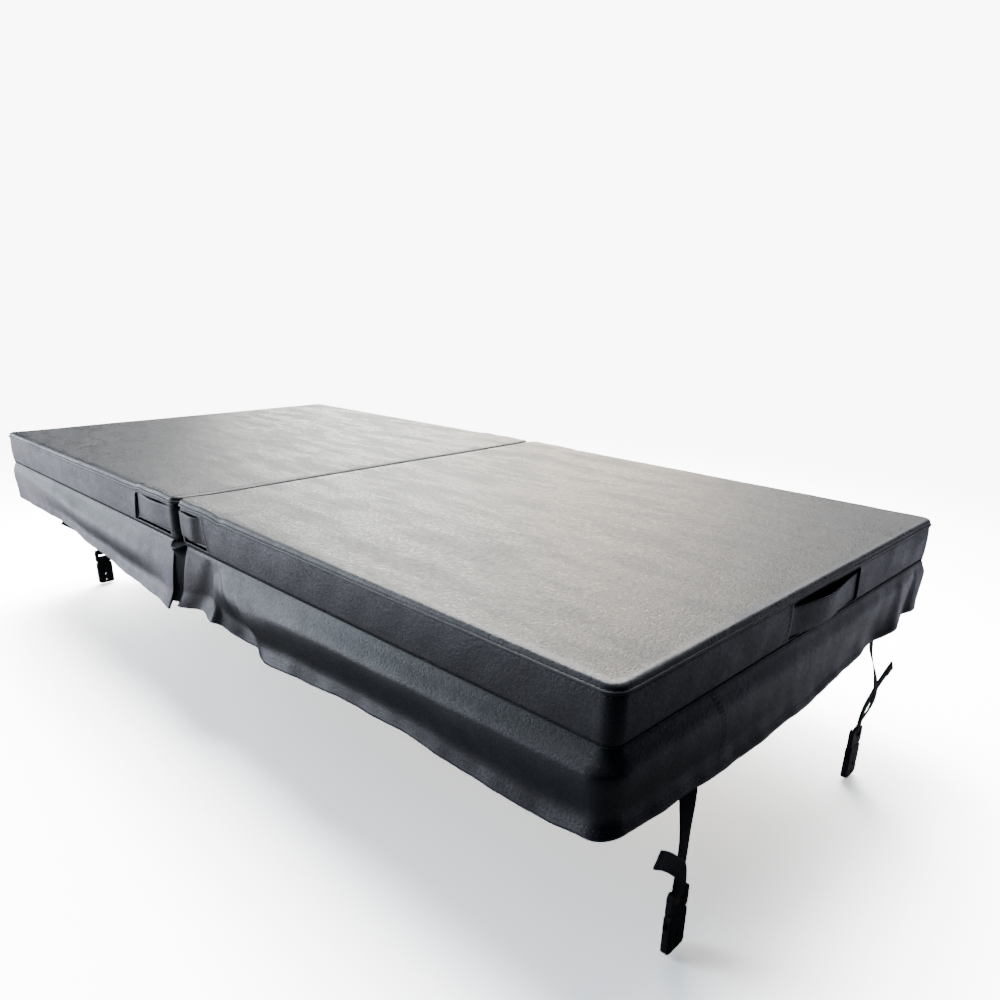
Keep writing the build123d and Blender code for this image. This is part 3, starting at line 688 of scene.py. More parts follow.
def skirt_out(side, x, y, share, s, w):
    """How far the skirt stands out from the cover's outline, at share w of its drop.

    It swells from the seam to its belly by a smooth step, falls back to its waist by a power of a
    cosine and stands out again at the hem by a power of w. Belly and flare die away beside the
    slit, towards the left front corner, at the ends and at the rear. Folds are bells across the
    skirt whose middle runs from where they start to the hem, and which widen and deepen on the way.
    """
    front, end = share["front"], share["end"]
    sizes = bpy.context.scene.cover_sizes
    if side == "left":
        level = BELLY_LEVEL + front * eased(x, [0.05, 0.30, 0.70, 0.98], [0.20, 0.14, 0.04, 0.0])
        belly = (1 + 0.05 * np.sin(7 * s)) * (1 - 0.95 * front * hump(x, 0, 0.12))
        belly = belly * (1 - 0.80 * end) * (1 - front * eased(x, [0.45, 0.98], [0, 0.70]))
        belly = sizes.belly * belly
        flare = (1 - 0.90 * end) * (1 - front * eased(x, [0.40, 0.98], [0, 0.85]))
    else:
        level = BELLY_LEVEL + front * eased(x, [0.10, 0.25, 0.50, 0.98], [0.16, 0.14, 0.04, -0.04])
        belly = (1 + 0.05 * np.sin(9 * s + 2)) * (1 - front * eased(x, [0.10, 0.20], [0.88, 0]))
        belly = belly * (1 - end * eased(y, [-0.5, 0.1, 0.5], [0.40, 0.55, 0.80]))
        belly = sizes.belly * belly - 0.006 * front * hump(x, 0.122, 0.016)
        flare = 1 - end * eased(y, [-0.5, 0.1, 0.5], [0.10, 0.30, 0.75])
    belly = belly * (1 - share["rear"] * (0.40 + 0.50 * hump(x, 0, 0.10)))
    flare = sizes.flare * flare
    up = smooth(w / level)
    down = np.cos(math.pi / 2 * np.clip((w - level) / (WAIST_LEVEL - level), 0, 1)) ** 1.6
    rise = np.clip((w - FLARE_LEVEL) / (1 - FLARE_LEVEL), 0, 1) ** 1.5
    waist = np.minimum(WAIST, np.minimum(belly, flare))
    out = up * (waist + (belly - waist) * down) + (flare - waist) * rise
    for edge, begin, finish, start, width, depth in FOLDS[side]:
        along = y if edge == "end" else x
        t = np.clip((w - start) / (1 - start), 0, 1)
        middle = begin + (finish - begin) * t
        near, far = width if isinstance(width, tuple) else (width, width)
        spread = np.where(along < middle, near, far) * (0.35 + 0.65 * t)
        out = out + share[edge] * depth * t**0.8 * hump(along, middle, spread)
    ripple = 0.0006 * w * np.sin(53 * s + 4 * w) + 0.0003 * w * np.sin(127 * s - 3 * w)
    return out + ripple - SEAM_TUCK * hump(w, 0, 0.03)


def skirt_drop(side, s):
    """The skirt's drop at arc length s: the hem's line on each side, and two slow waves."""
    x, y, _, ny = COVER.at(s)
    share = shares_of_edges(ny)
    drop = 0.0010 * np.sin(19 * s + 1) + 0.0006 * np.sin(43 * s)
    for edge, line in HEM[side].items():
        places, depths = zip(*line)
        drop = drop + share[edge] * eased(y if edge == "end" else x, places, depths)
    return drop


def skirt_surface(side, back=0.0):
    """The skirt at arc length s and share v of its drop, moved in by back.

    Its upright edges lean towards the fold: near them a place moves towards it by a share of the
    slit's narrowing that grows with a power of v and dies away along the skirt as a bell.
    """

    def surface(s, v):
        s, v = np.broadcast_arrays(np.asarray(s, float), np.asarray(v, float))
        x, y, nx, ny = COVER.at(s)
        share = shares_of_edges(ny)
        drop = skirt_drop(side, s)
        w = np.clip(v, 0, 1)
        out = skirt_out(side, x, y, share, s, w) - back
        edge_x = SLIT_TOP[side] + (SLIT_HEM[side] - SLIT_TOP[side]) * w**1.2
        x = x + (edge_x - SKIRT_START) * hump(x - SKIRT_START, 0, 0.06)
        return placed(side, x + nx * out, y + ny * out, -drop * v)

    return surface


def skirt_span():
    """Arc lengths of the skirt's two upright edges."""
    return COVER.front(SKIRT_START), COVER.rear(SKIRT_START)


def build_skirt(side):
    """The skirt and the second layer behind its hem."""
    low, high = skirt_span()
    s = COVER.samples(low, high, 0.0042, 12)
    v = np.concatenate([np.linspace(0, 0.2, 12)[:-1] ** 1.4 / 0.2**0.4, np.linspace(0.2, 1, 32)])
    points = skirt_surface(side)(s[None, :], v[:, None])
    # The hem's edge is marked for wear with a painted highlight, and for pressed relief.
    hem_edge = np.repeat(hump(v, 1, 0.02)[:, None], len(s), axis=1)
    skirt = grid_object(f"{side}_skirt_sheet", points, flip=side == "right")
    mark(skirt, "wear_and_highlight", hem_edge)
    mark(skirt, "pressed", hem_edge)
    thicken(skirt, SKIRT_SHEET)
    finish_piece(skirt, "skirt_vinyl", f"{side}_panel", f"{side}_skirt")
    v = np.linspace(1 - HEM_SHARE, 1, 6)
    facing_points = skirt_surface(side, SKIRT_SHEET + 0.0002)(s[None, :], v[:, None])
    facing = grid_object(f"{side}_hem_facing", facing_points, flip=side == "right")
    thicken(facing, SKIRT_SHEET)
    finish_piece(facing, "skirt_vinyl", f"{side}_panel", f"{side}_hem")
    drop = skirt_drop(side, np.linspace(low, high, 800))
    return skirt


# ---------------------------------------------------------------- handles


def build_pockets(side):
    """The trays behind the windows: flat at the rim, and sunk by (1 - U^10) where the foam is cut.

    In height the sinking is a smooth step that starts at the foot of the foam's recess.
    """
    parts, columns, rows = [], 60, 26
    faces = grid_faces(rows, columns, flip=side == "left")
    across = np.linspace(-1, 1, columns)
    for kind, (low, high, _foot, top, *_) in zip(("fold", "end", "fold"), windows(side)):
        s = np.linspace(low - POCKET_LAP, high + POCKET_LAP, columns)
        z = np.linspace(0.002, top + POCKET_LAP / 2, rows)
        ledge = RECESS_LOW[kind]
        rise = eased(z, [0, ledge, ledge + POCKET_RISE, 0.1], [0, 0, 1, 1])
        sunk = (1 - across[None, :] ** 10) * rise[:, None]
        x, y, nx, ny = PANEL.at(s)
        out = -POCKET_RIM - POCKET_DEPTH * sunk
        parts.append((placed(side, x + nx * out, y + ny * out, z[:, None]), faces))
    pockets = merged_object(f"{side}_pocket_trays", parts)
    thicken(pockets, POCKET_SHEET)
    return finish_piece(pockets, "side_vinyl", f"{side}_panel", f"{side}_handle_pockets")


def handle_rings(side, s, out, low, high, sag, lean, thick):
    """Rings of a padded strap: a flat oval across, with a crease, that sags and leans.

    Round the oval the height follows the sine and the thickness the cosine, each to a low power,
    less a bell-shaped crease near the upper edge of its outer face. Sag and lean follow half a
    wave of the sine along the strap.
    """
    angle = np.linspace(0, 2 * math.pi, 28, endpoint=False)
    tall, deep = softened(np.sin(angle), 0.75), softened(np.cos(angle), 0.5)
    crease = 0.5 * hump(tall, 0.42, 0.10) * (np.cos(angle) > 0)
    t = np.linspace(0, 1, len(s))
    belly = np.sin(math.pi * t)
    half = (high - low) / 2 * (1 - 0.05 * belly)
    x, y, nx, ny = PANEL.at(s)
    offset = (out + thick / 2)[:, None] + thick[:, None] / 2 * (deep - crease)[None, :]
    offset = offset + lean * belly[:, None] * tall[None, :]
    offset = offset + 0.0005 * (np.sin(70 * s + 1) * belly)[:, None] * (np.cos(angle) > 0)[None, :]
    z = (low + high) / 2 - sag * belly[:, None] + half[:, None] * tall[None, :]
    return placed(side, x[:, None] + nx[:, None] * offset, y[:, None] + ny[:, None] * offset, z)


def add_grip(side, name, kind, s, out, thick):
    """One handle along the arc lengths s, at its own distance from the outline and thickness."""
    handle = capped_tube(f"{side}_{name}_grip", handle_rings(side, s, out, *GRIPS[kind], thick))
    finish_piece(handle, "handle_vinyl", f"{side}_panel", f"{side}_{name}_handle")


def build_handles(side):
    """The handle at the outer end and the two beside the fold, which wrap round into it."""
    reach = END_HANDLE_HALF + GRIP_LAP
    t = np.linspace(0, 1, 70)
    s = PANEL.end(END_HANDLE_Y) + np.linspace(-reach, reach, 70)
    out = eased(t, [0, 0.05, 0.45, 0.94, 1], [-0.0050, -0.0048, 0.0052, -0.0038, -0.0052])
    add_grip(side, "end", "end", s, out, np.full(70, 0.0040))
    far, wrap = HANDLE_REACH[side] + GRIP_LAP, PANEL.starts[1] - 0.012
    t = np.linspace(0, 1, 90)
    for corner, begin, finish in (
        ("front", PANEL.front(far), wrap),
        ("rear", PANEL.rear(far), PANEL.starts[-1] - wrap),
    ):
        s = np.linspace(begin, finish, 90)
        bend = 1 - (CORNER * math.pi / 2 + 0.012) / abs(finish - begin)
        out = eased(t, [0, 0.07, bend / 2, bend, 1], [-0.0052, -0.0034, 0.0024, 0.0004, 0.0002])
        thick = eased(t, [0, 0.1, bend / 2, bend, 1], [0.0028, 0.0036, 0.0048, 0.0034, 0.0028])
        add_grip(side, corner, "fold", s, out, thick)


# ---------------------------------------------------------------- the fold


def build_hinge():
    """One strip of cloth sewn to both walls: it hangs between them in a half ellipse."""
    half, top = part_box("left_hinge_leaf")[1][1:]
    wall, low = FOLD_GAP - 0.0006, top - HINGE_DROP
    angle = np.linspace(0, math.pi, 15)
    x = np.concatenate([[-wall, -wall], -wall * np.cos(angle), [wall, wall]])
    half_way = (top + low) / 2
    z = np.concatenate([[top, half_way], low - HINGE_DIP * np.sin(angle), [half_way, top]])
    y = np.linspace(-half, half, 140)
    wave = 0.0006 * np.sin(60 * y) * (np.abs(x) < wall * 0.9)[:, None]
    hinge = grid_object("fold_hinge_cloth", joined(x[:, None], y, z[:, None] + wave), flip=True)
    thicken(hinge, HINGE_SHEET)
    settle(hinge)
    finish_piece(hinge, "hinge_cloth", None)
    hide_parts("left_hinge_leaf", "right_hinge_leaf")
    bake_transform(hinge)
    return hinge


def build_seal():
    """The foam-filled strip at the foot of the fold, a closed tube with a soft section.

    The section follows the cosine and the sine to a low power, and narrows and widens by a sine.
    """
    low, high = (np.array(corner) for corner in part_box("fold_seal"))
    middle, half = (low + high) / 2, (high - low) / 2
    angle = np.linspace(0, 2 * math.pi, 24, endpoint=False)
    across, upright = softened(np.cos(angle), 0.45), softened(np.sin(angle), 0.45)
    y = np.linspace(low[1] + 0.0005, high[1] - 0.0005, 120)[:, None]
    wave = 1 - 0.06 * (0.5 + 0.5 * np.sin(48 * y))
    points = joined(middle[0] + half[0] * across * wave, y, middle[2] + half[2] * upright)
    seal = capped_tube("fold_seal_strip", points)
    finish_piece(seal, "seal_vinyl", "left_panel", "fold_seal")
    return seal


def gusset_out(x, level, turn):
    """How far a gusset stands out: as both skirts do beside the slit, and a smooth step between."""
    outs = {}
    share = {"front": float(turn < 0), "end": 0.0, "rear": float(turn > 0)}
    for side, sign in SIDES.items():
        near = np.maximum(sign * x, SKIRT_START)
        outs[side] = skirt_out(side, near, turn * HALF_WIDTH, share, near * 0, level)
    across = smooth((x / SKIRT_START + 1) / 2)
    return 0.95 * (outs["left"] * (1 - across) + outs["right"] * across) - GUSSET_BACK


def build_gussets():
    """The flaps behind the slits, whose top edge hangs out between the skirts, and their binding.

    Each flap follows the back of both skirts. In the slit its top edge dips by a parabola and
    stands out, and below it the flap falls back along a bell. Inwards of its top edge it runs
    under the cover, and rises to the edge's height by a cube.
    """
    columns, tucked = 61, 8
    x = np.linspace(-GUSSET_REACH, GUSSET_REACH, columns)
    v = np.linspace(0, 1, 44)[:, None]
    opening = np.clip(1 - ((x + 0.004) / 0.024) ** 2, 0, 1)
    top = -0.0005 - 0.0085 * opening
    inward = np.linspace(0, 1, tucked + 1)[:-1, None]
    bound = slice(13, 44)  # columns of the edge that shows in the slit
    parts, bindings = [], []
    for turn in CORNERS.values():
        z = top + (-GUSSET_DEPTH - top) * v
        out = gusset_out(x[None, :] + 0 * z, -z / SKIRT_DROP, turn)
        out = out + 0.0150 * opening**0.7 * hump(z - top, 0, 0.012)
        y = turn * (HALF_WIDTH + out + 0.0006 * np.sin(190 * x) * v)
        tuck = turn * GUSSET_TUCK
        y = np.concatenate([tuck + (y[:1] - tuck) * inward, y])
        z = np.concatenate([-0.0008 + (top + 0.0008) * inward**3, z])
        points = joined(x, y, z)
        parts.append((points, grid_faces(len(z), columns, flip=turn > 0)))
        bindings.append(points[tucked, bound])
    gussets = merged_object("fold_gusset_flaps", parts)
    thicken(gussets, GUSSET_SHEET)
    finish_piece(gussets, "gusset_cloth", "left_panel", "fold_gussets")
    for name, path in zip(CORNERS, bindings):
        binding = capped_tube(f"{name}_gusset_binding", round_tube(path, BINDING_RADIUS, 10))
        finish_piece(binding, "welt_vinyl", "left_panel")


def round_tube(path, radius, sides):
    """Rings of a round tube along a path: a circle in the plane that the path goes through."""
    tangent = unit(np.gradient(path, axis=0))
    aside = unit(np.cross(tangent, [0.0, 0.0, 1.0]))
    up = np.cross(aside, tangent)
    angle = np.linspace(0, 2 * math.pi, sides, endpoint=False)[None, :, None]
    spokes = np.cos(angle) * aside[:, None] + np.sin(angle) * up[:, None]
    return path[:, None] + radius * spokes


# ---------------------------------------------------------------- straps


def webbing_rings(path, width_way):
    """Rings of webbing: a flat eight-sided section carried along a path.

    It faces the cross product of the path's direction and the way of its width.
    """
    tangent = unit(np.gradient(path, axis=0))
    face = unit(np.cross(tangent, width_way))
    wide = np.cross(face, tangent)
    section = np.array([(-0.5, -0.2), (-0.44, -0.5), (0.44, -0.5), (0.5, -0.2),
                        (0.5, 0.2), (0.44, 0.5), (-0.44, 0.5), (-0.5, 0.2)])
    across = section[None, :, :1] * STRAP_WIDTH * wide[:, None]
    return path[:, None] + across + section[None, :, 1:] * STRAP_THICK * face[:, None]


def strap_route(side, corner, bar_x, bar_y):
    """A strap's path in three parts, each with the way of its width.

    The first hangs to the buckle's bar, bows out by a sine to a power and twists along a bell below
    the hem. The second is half a circle round the bar. The third, the tail, is a sum of short steps
    that lean further and further from the vertical.
    """
    sign, front = SIDES[side], CORNERS[corner]
    down = np.linspace(-0.001, BAR_Z, 110)
    share = np.clip((down - BAR_Z) / (SWING_Z - BAR_Z), 0, 1)
    slack = STRAP_SLACK.get((side, corner), LEAST_SLACK)
    bow = sign * slack * np.sin(math.pi * share) ** 1.3 * (down < SWING_Z)
    twist = math.radians(32) * hump(down, SWING_Z - 0.005, 0.045)
    run = joined(bar_x - sign * BAR_TURN + bow, bar_y, down)
    run_way = joined(-front * np.sin(twist) * sign, np.cos(twist), 0)
    angle = np.linspace(0, math.pi, 15)[1:]
    turn = joined(bar_x - sign * BAR_TURN * np.cos(angle), bar_y, BAR_Z - BAR_TURN * np.sin(angle))
    t = np.linspace(0, 1, 60)
    lean = np.radians(eased(t, [0, 0.12, 0.4, 1], [0, 4, 46, 54]))
    step = TAIL_LENGTH / len(t)
    aside, rise = np.cumsum(step * np.sin(lean)), np.cumsum(step * np.cos(lean))
    away = bar_x + sign * (BAR_TURN + 0.010 * t**2)
    tail = joined(away, bar_y + front * aside, BAR_Z + 0.001 + rise)
    tail_way = joined(0, np.cos(lean), -front * np.sin(lean))
    return (run, run_way), (turn, joined(0 * angle, 1.0, 0)), (tail, tail_way)


def build_strap(side, corner):
    """A tie-down strap: sewn to the underside, twisted below the hem, round the bar and back up."""
    sign = SIDES[side]
    low, high = (np.array(c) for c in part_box(f"{side}_{corner}_buckle_plug"))
    bar_x, bar_y = (low[0] + high[0]) / 2, (low[1] + high[1]) / 2
    parts = strap_route(side, corner, bar_x, bar_y)
    path, way = (np.concatenate(rows) for rows in zip(*parts))
    strap = capped_tube(f"{side}_{corner}_webbing", webbing_rings(path, way))
    finish_piece(strap, "webbing", None)
    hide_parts(f"{side}_{corner}_strap", f"{side}_strap_anchors")
    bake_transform(strap)
    tail, tail_way = parts[-1]
    doubled = tail[-9:] + [sign * STRAP_THICK, 0, 0]
    tip = capped_tube(f"{side}_{corner}_webbing_fold", webbing_rings(doubled, tail_way[-9:]))
    finish_piece(tip, "webbing", f"{side}_{corner}_strap")


# ---------------------------------------------------------------- stitching


def row_on(surface, s, v, turn, *thread):
    """A row of stitches on a surface, along arc lengths s and shares v."""
    s, v = np.broadcast_arrays(np.asarray(s, float), v)
    return stitch_row(surface(s, v), normals_of(surface, s, v, turn), *thread)


def panel_rows(side):
    """Rows in the side band and the top sheet's flange, along the welt, and up the windows' ends."""
    turn, band = SIDES[side], band_surface(side)
    s = PANEL.samples(BAND_SEAM, PANEL.starts[-1] - BAND_SEAM, 0.004, 14)
    rows = [row_on(band, s, 1 - 0.0050 / BAND_AT_END, turn)]
    x, y, nx, ny = PANEL.at(s, 0.0008)
    flange = placed(side, x, y, edge_height(side, x, y) - 0.0072)
    rows.append(stitch_row(flange, placed(side, nx, ny, 0 * nx)))
    corners = (PANEL.front(FOLD_GAP + CORNER), PANEL.rear(FOLD_GAP + CORNER))
    for low, high, foot, top, tall, *_ in windows(side):
        levels = np.linspace(foot, top, 12) / tall
        for edge, away in ((low, -0.0045), (high, 0.0045)):
            if min(abs(edge - corner) for corner in corners) > 0.01:
                rows.append(row_on(band, edge + away, levels, turn))
    return rows


def skirt_rows(side):
    """Two rows along the hem, a seam down the end, and a tack beside the right panel's slit."""
    turn, skirt = -SIDES[side], skirt_surface(side)
    low, high = skirt_span()
    s = COVER.samples(low + 0.004, high - 0.004, 0.004, 14)
    rows = [row_on(skirt, s, share, turn) for share in HEM_ROWS]
    if side == "right":
        tack = COVER.front(0.108) + np.linspace(-0.004, 0.004, 9)
        rows += [row_on(skirt, tack, share, turn, *TACK) for share in (0.135, 0.145, 0.155)]
    drop = np.linspace(0.02, 0.86, 40)
    for shift in (0.0, 0.006):
        seam = COVER.end(-0.290 + shift + 0.035 * np.sin(math.pi * 0.5 * drop))
        rows.append(row_on(skirt, seam, drop, turn))
    return rows


def build_stitching(side):
    """The stitches of a panel and of its skirt."""
    for part, rows, slot in (
        ("panel", panel_rows(side), "side_vinyl"),
        ("skirt", skirt_rows(side), "skirt_vinyl"),
    ):
        thing = stitch_object(f"{side}_{part}_stitching", rows)
        finish_piece(thing, "thread", f"{side}_panel", slot=slot)


def build_fold_stitching():
    """The row on the left panel's top, beside the fold, at the height of the top sheet."""
    y = np.linspace(-HALF_WIDTH + 0.012, HALF_WIDTH - 0.012, 240)
    x = np.full(len(y), FOLD_GAP + 0.0125)
    across = (x - PANEL.middle) / PANEL.half_x
    crown = CROWN * (1 - across**4) * (1 - (y / HALF_WIDTH) ** 4)
    path = placed("left", x, y, edge_height("left", x, y) + crown + 0.0002)
    thing = stitch_object("fold_top_stitching", [stitch_row(path, joined(0.0, 0.0, 1.0 + 0 * y))])
    finish_piece(thing, "thread", "left_panel", slot="top_vinyl")


# ---------------------------------------------------------------- materials

MATERIALS = {}


class Nodes:
    """A small helper that adds and joins shader nodes in one tree."""

    def __init__(self, tree):
        self.tree = tree

    def add(self, kind, settings=None, **inputs):
        """A new node with its settings and its sockets fed."""
        node = self.tree.nodes.new(kind)
        for key, value in (settings or {}).items():
            setattr(node, key, value)
        self.feed_all(node, **inputs)
        return node

    def group(self, group, **inputs):
        """The outputs of a shared node group."""
        return self.add("ShaderNodeGroup", {"node_tree": group}, **inputs).outputs

    def feed_all(self, node, **values):
        """Feeds several sockets, whose names have _ for a space."""
        for key, value in values.items():
            self.feed(node, key.replace("_", " "), value)

    def feed(self, node, key, value):
        """Joins a socket to another, or sets it. Its key is its name, or i and its number."""
        socket = node.inputs[int(key[1:])] if key[0] == "i" and key[1:].isdigit() else node.inputs[key]
        if isinstance(value, bpy.types.NodeSocket):
            self.tree.links.new(value, socket)
        else:
            socket.default_value = value

    def math(self, operation, a, b=0.0, c=0.0):
        """The result of a Math node."""
        return self.add("ShaderNodeMath", {"operation": operation}, i0=a, i1=b, i2=c).outputs[0]

    def plus(self, a, b):
        return self.math("ADD", a, b)

    def times(self, a, b):
        return self.math("MULTIPLY", a, b)

    def noise(self, vector, scale, detail, **more):
        """A noise texture of its own scale and detail."""
        return self.add("ShaderNodeTexNoise", Vector=vector, Scale=scale, Detail=detail, **more)

    def mix_shaders(self, factor, a, b):
        return self.add("ShaderNodeMixShader", i0=factor, i1=a, i2=b).outputs[0]

    def relief(self, height, strength, distance):
        """A normal raised by a height."""
        bump = self.add("ShaderNodeBump", Strength=strength, Distance=distance, Height=height)
        return bump.outputs[0]

    def blend(self, factor, a, b, kind="MIX"):
        """A colour between two, or their sum."""
        node = self.add("ShaderNodeMix", {"data_type": "RGBA", "blend_type": kind})
        for index, value in ((0, factor), (6, a), (7, b)):
            self.feed(node, f"i{index}", value)
        return node.outputs[2]

    def between(self, value, low, high, to_low=0.0, to_high=1.0):
        """A smooth step of a value from low to high, between two results."""
        node = self.add("ShaderNodeMapRange", {"interpolation_type": "SMOOTHSTEP"})
        for index, number in enumerate((value, low, high, to_low, to_high)):
            self.feed(node, f"i{index}", number)
        return node.outputs[0]


def new_group(name, inputs, outputs):
    """A node group with its sockets: an input is a name, a kind and a value, an output the first two."""
    group = bpy.data.node_groups.new(name, "ShaderNodeTree")
    for label, kind, value in inputs:
        socket = group.interface.new_socket(label, in_out="INPUT", socket_type=f"NodeSocket{kind}")
        if value is not None:
            socket.default_value = value
    for label, kind in outputs:
        group.interface.new_socket(label, in_out="OUTPUT", socket_type=f"NodeSocket{kind}")
    nodes = Nodes(group)
    return group, nodes, nodes.add("NodeGroupInput"), nodes.add("NodeGroupOutput")


def grain_group():
    """Leather grain: pebbles from the distance to the middles of bent cells, pores and flecks."""
    group, n, given, out = new_group(
        "vinyl_grain",
        [("Vector", "Vector", None), ("Cell", "Float", 0.0024)],
        [("Height", "Float"), ("Fleck", "Float")],
    )
    place = given.outputs["Vector"]
    scale = n.math("DIVIDE", 1.0, given.outputs["Cell"])
    warp = n.noise(place, 210.0, 1.0).outputs["Color"]
    bent = n.add("ShaderNodeVectorMath", {"operation": "MULTIPLY_ADD"}, i0=warp, i1=(0.0016,) * 3, i2=place)
    cells = n.add("ShaderNodeTexVoronoi", {"feature": "SMOOTH_F1"}, Vector=bent.outputs[0], Scale=scale)
    pebble = n.between(cells.outputs["Distance"], 0.05, 0.75, 1.0, 0.0)
    pores = n.noise(place, 1400.0, 1.0).outputs["Fac"]
    fleck = n.between(n.noise(place, 170.0, 5.0, Roughness=0.75).outputs["Fac"], 0.38, 0.62)
    height = n.plus(n.plus(pebble, n.times(pores, 0.35)), n.times(fleck, 0.9))
    n.feed_all(out, Height=height, Fleck=fleck)
    return group


def cloud_group():
    """Cloudy scuffing: broad noise, sharper patches in it, and streaks drawn out aslant."""
    group, n, given, out = new_group(
        "vinyl_clouds",
        [("Vector", "Vector", None), ("Size", "Float", 0.16)],
        [("Soft", "Float"), ("Patches", "Float"), ("Streaks", "Float")],
    )
    place = given.outputs["Vector"]
    scale = n.math("DIVIDE", 1.0, given.outputs["Size"])
    soft = n.noise(place, scale, 3.0, Roughness=0.55)
    fine = n.noise(place, n.times(scale, 3.2), 5.0, Roughness=0.62, Distortion=0.6)
    drawn = n.add("ShaderNodeMapping", Vector=place, Scale=(2.2, 9.0, 6.0), Rotation=(0.0, 0.0, 0.35))
    streak = n.noise(drawn.outputs[0], 2.2, 5.0, Roughness=0.65)
    n.feed_all(
        out,
        Soft=n.between(soft.outputs["Fac"], 0.32, 0.68),
        Patches=n.between(fine.outputs["Fac"], 0.42, 0.66),
        Streaks=n.between(streak.outputs["Fac"], 0.38, 0.66),
    )
    return group


def wear_and_highlight_group():
    """Rolled edges and hems: lightened where a piece is marked so and is scuffed, as wear and as a painted
    highlight, and pressed flat.
    """
    group, n, given, out = new_group(
        "vinyl_wear_and_highlight",
        [("Patches", "Float", 0.0), ("Amount", "Float", 0.5)],
        [("Worn", "Float"), ("Relief", "Float")],
    )
    amount = given.outputs["Amount"]
    edge = n.add("ShaderNodeAttribute", {"attribute_name": "wear_and_highlight"}).outputs["Fac"]
    pressed = n.add("ShaderNodeAttribute", {"attribute_name": "pressed"}).outputs["Fac"]
    scuffed = n.between(given.outputs["Patches"], 0.0, 1.0, n.times(amount, 0.5), amount)
    n.feed_all(out, Worn=n.times(edge, scuffed), Relief=n.math("MULTIPLY_ADD", pressed, -0.8, 1.0))
    return group


def weave_group():
    """Plain weave: two crossed rows of threads, one over the other by turns."""
    group, n, given, out = new_group(
        "cloth_weave",
        [("Vector", "Vector", None), ("Thread", "Float", 0.0012)],
        [("Height", "Float"), ("Tone", "Float")],
    )
    turns = n.math("DIVIDE", math.pi, given.outputs["Thread"])
    parts = n.add("ShaderNodeSeparateXYZ", Vector=given.outputs["Vector"]).outputs
    warp = n.math("SINE", n.times(n.plus(parts[0], parts[1]), turns))
    weft = n.math("SINE", n.times(parts[2], turns))
    pick = n.between(n.times(warp, weft), -0.2, 0.2)
    over = n.times(n.math("ABSOLUTE", warp), pick)
    under = n.times(n.math("ABSOLUTE", weft), n.math("SUBTRACT", 1.0, pick))
    tone = n.noise(given.outputs["Vector"], 700.0, 2.0).outputs["Fac"]
    n.feed_all(out, Height=n.plus(over, under), Tone=tone)
    return group


def start_material(name):
    """A new material's nodes, its shader, joined to its output, and its Object coordinates."""
    material = bpy.data.materials.new(name)
    material.use_nodes = True
    material.node_tree.nodes.clear()
    n = Nodes(material.node_tree)
    shader = n.add("ShaderNodeBsdfPrincipled")
    n.add("ShaderNodeOutputMaterial", Surface=shader.outputs[0])
    place = n.add("ShaderNodeTexCoord").outputs["Object"]
    MATERIALS[name] = material
    return n, shader, place


def colour(rgb, factor=1.0):
    """A colour socket's value, made lighter or darker by a factor, up to white."""
    return tuple(min(1.0, c * factor) for c in rgb) + (1.0,)


def vinyl(name, rgb, rough, groups, cell, size, scuff, bump, wear_and_highlight):
    """Marine vinyl: embossed grain, cloudy scuffing that lightens and dulls it, and marked edges lightened
    as wear and as a painted highlight.
    """
    n, shader, place = start_material(name)
    grain = n.group(groups["grain"], Vector=place, Cell=cell)
    clouds = n.group(groups["clouds"], Vector=place, Size=size)
    base = n.blend(n.times(clouds["Soft"], 0.8), colour(rgb, 0.88), colour(rgb, 1.12))
    dusty = n.times(clouds["Patches"], scuff)
    base = n.blend(dusty, base, colour([c * 0.7 + 0.035 for c in rgb], 1.35))
    base = n.blend(n.times(grain["Fleck"], 0.4), base, colour(rgb, 0.62))
    roughness = n.between(clouds["Streaks"], 0.0, 1.0, rough - 0.10 * scuff, rough + 0.10 * scuff)
    roughness = n.plus(roughness, n.times(grain["Fleck"], 0.30 * scuff))
    roughness = n.plus(roughness, n.times(dusty, 0.08))
    relief = grain["Height"]
    if wear_and_highlight:
        # Marked edges mix towards a lighter grey and lose roughness: wear, and a painted highlight on the
        # rolled edges and hems.
        edges = n.group(groups["wear_and_highlight"], Patches=clouds["Patches"], Amount=wear_and_highlight)
        base = n.blend(edges["Worn"], base, colour([c * 0.6 + 0.09 for c in rgb]))
        roughness = n.math("SUBTRACT", roughness, n.times(edges["Worn"], 0.08))
        relief = n.times(relief, edges["Relief"])
    n.feed_all(shader, Base_Color=base, Roughness=roughness, Normal=n.relief(relief, bump, 0.0006))
    shader.inputs["Specular IOR Level"].default_value = 0.55


def cloth(name, rgb, groups, thread, rough, sheen):
    """Woven cloth: crossed threads darkened where they lie low, as painted shade, with uneven tone."""
    n, shader, place = start_material(name)
    weave = n.group(groups["weave"], Vector=place, Thread=thread)
    # Low parts of the weave are darkened: painted shade between the threads.
    base = n.blend(weave["Height"], colour(rgb, 0.55), colour(rgb, 1.15))
    base = n.blend(n.times(weave["Tone"], 0.4), base, colour(rgb, 0.7))
    n.feed_all(shader, Base_Color=base, Normal=n.relief(weave["Height"], 0.6, 0.0003))
    shader.inputs["Roughness"].default_value = rough
    shader.inputs["Sheen Weight"].default_value = sheen


def speckled(name, rgb, rough, scale=900.0, metal=0.0):
    """Plastic, metal, thread or film: fine noise in roughness and relief, and broad noise in colour."""
    n, shader, place = start_material(name)
    fine = n.noise(place, scale, 3.0).outputs["Fac"]
    broad = n.noise(place, scale / 30, 2.0).outputs["Fac"]
    base = n.blend(broad, colour(rgb, 0.88), colour(rgb, 1.12))
    roughness = n.between(fine, 0.3, 0.7, rough - 0.06, rough + 0.06)
    n.feed_all(shader, Base_Color=base, Roughness=roughness, Normal=n.relief(fine, 0.15, 0.0002))
    shader.inputs["Metallic"].default_value = metal


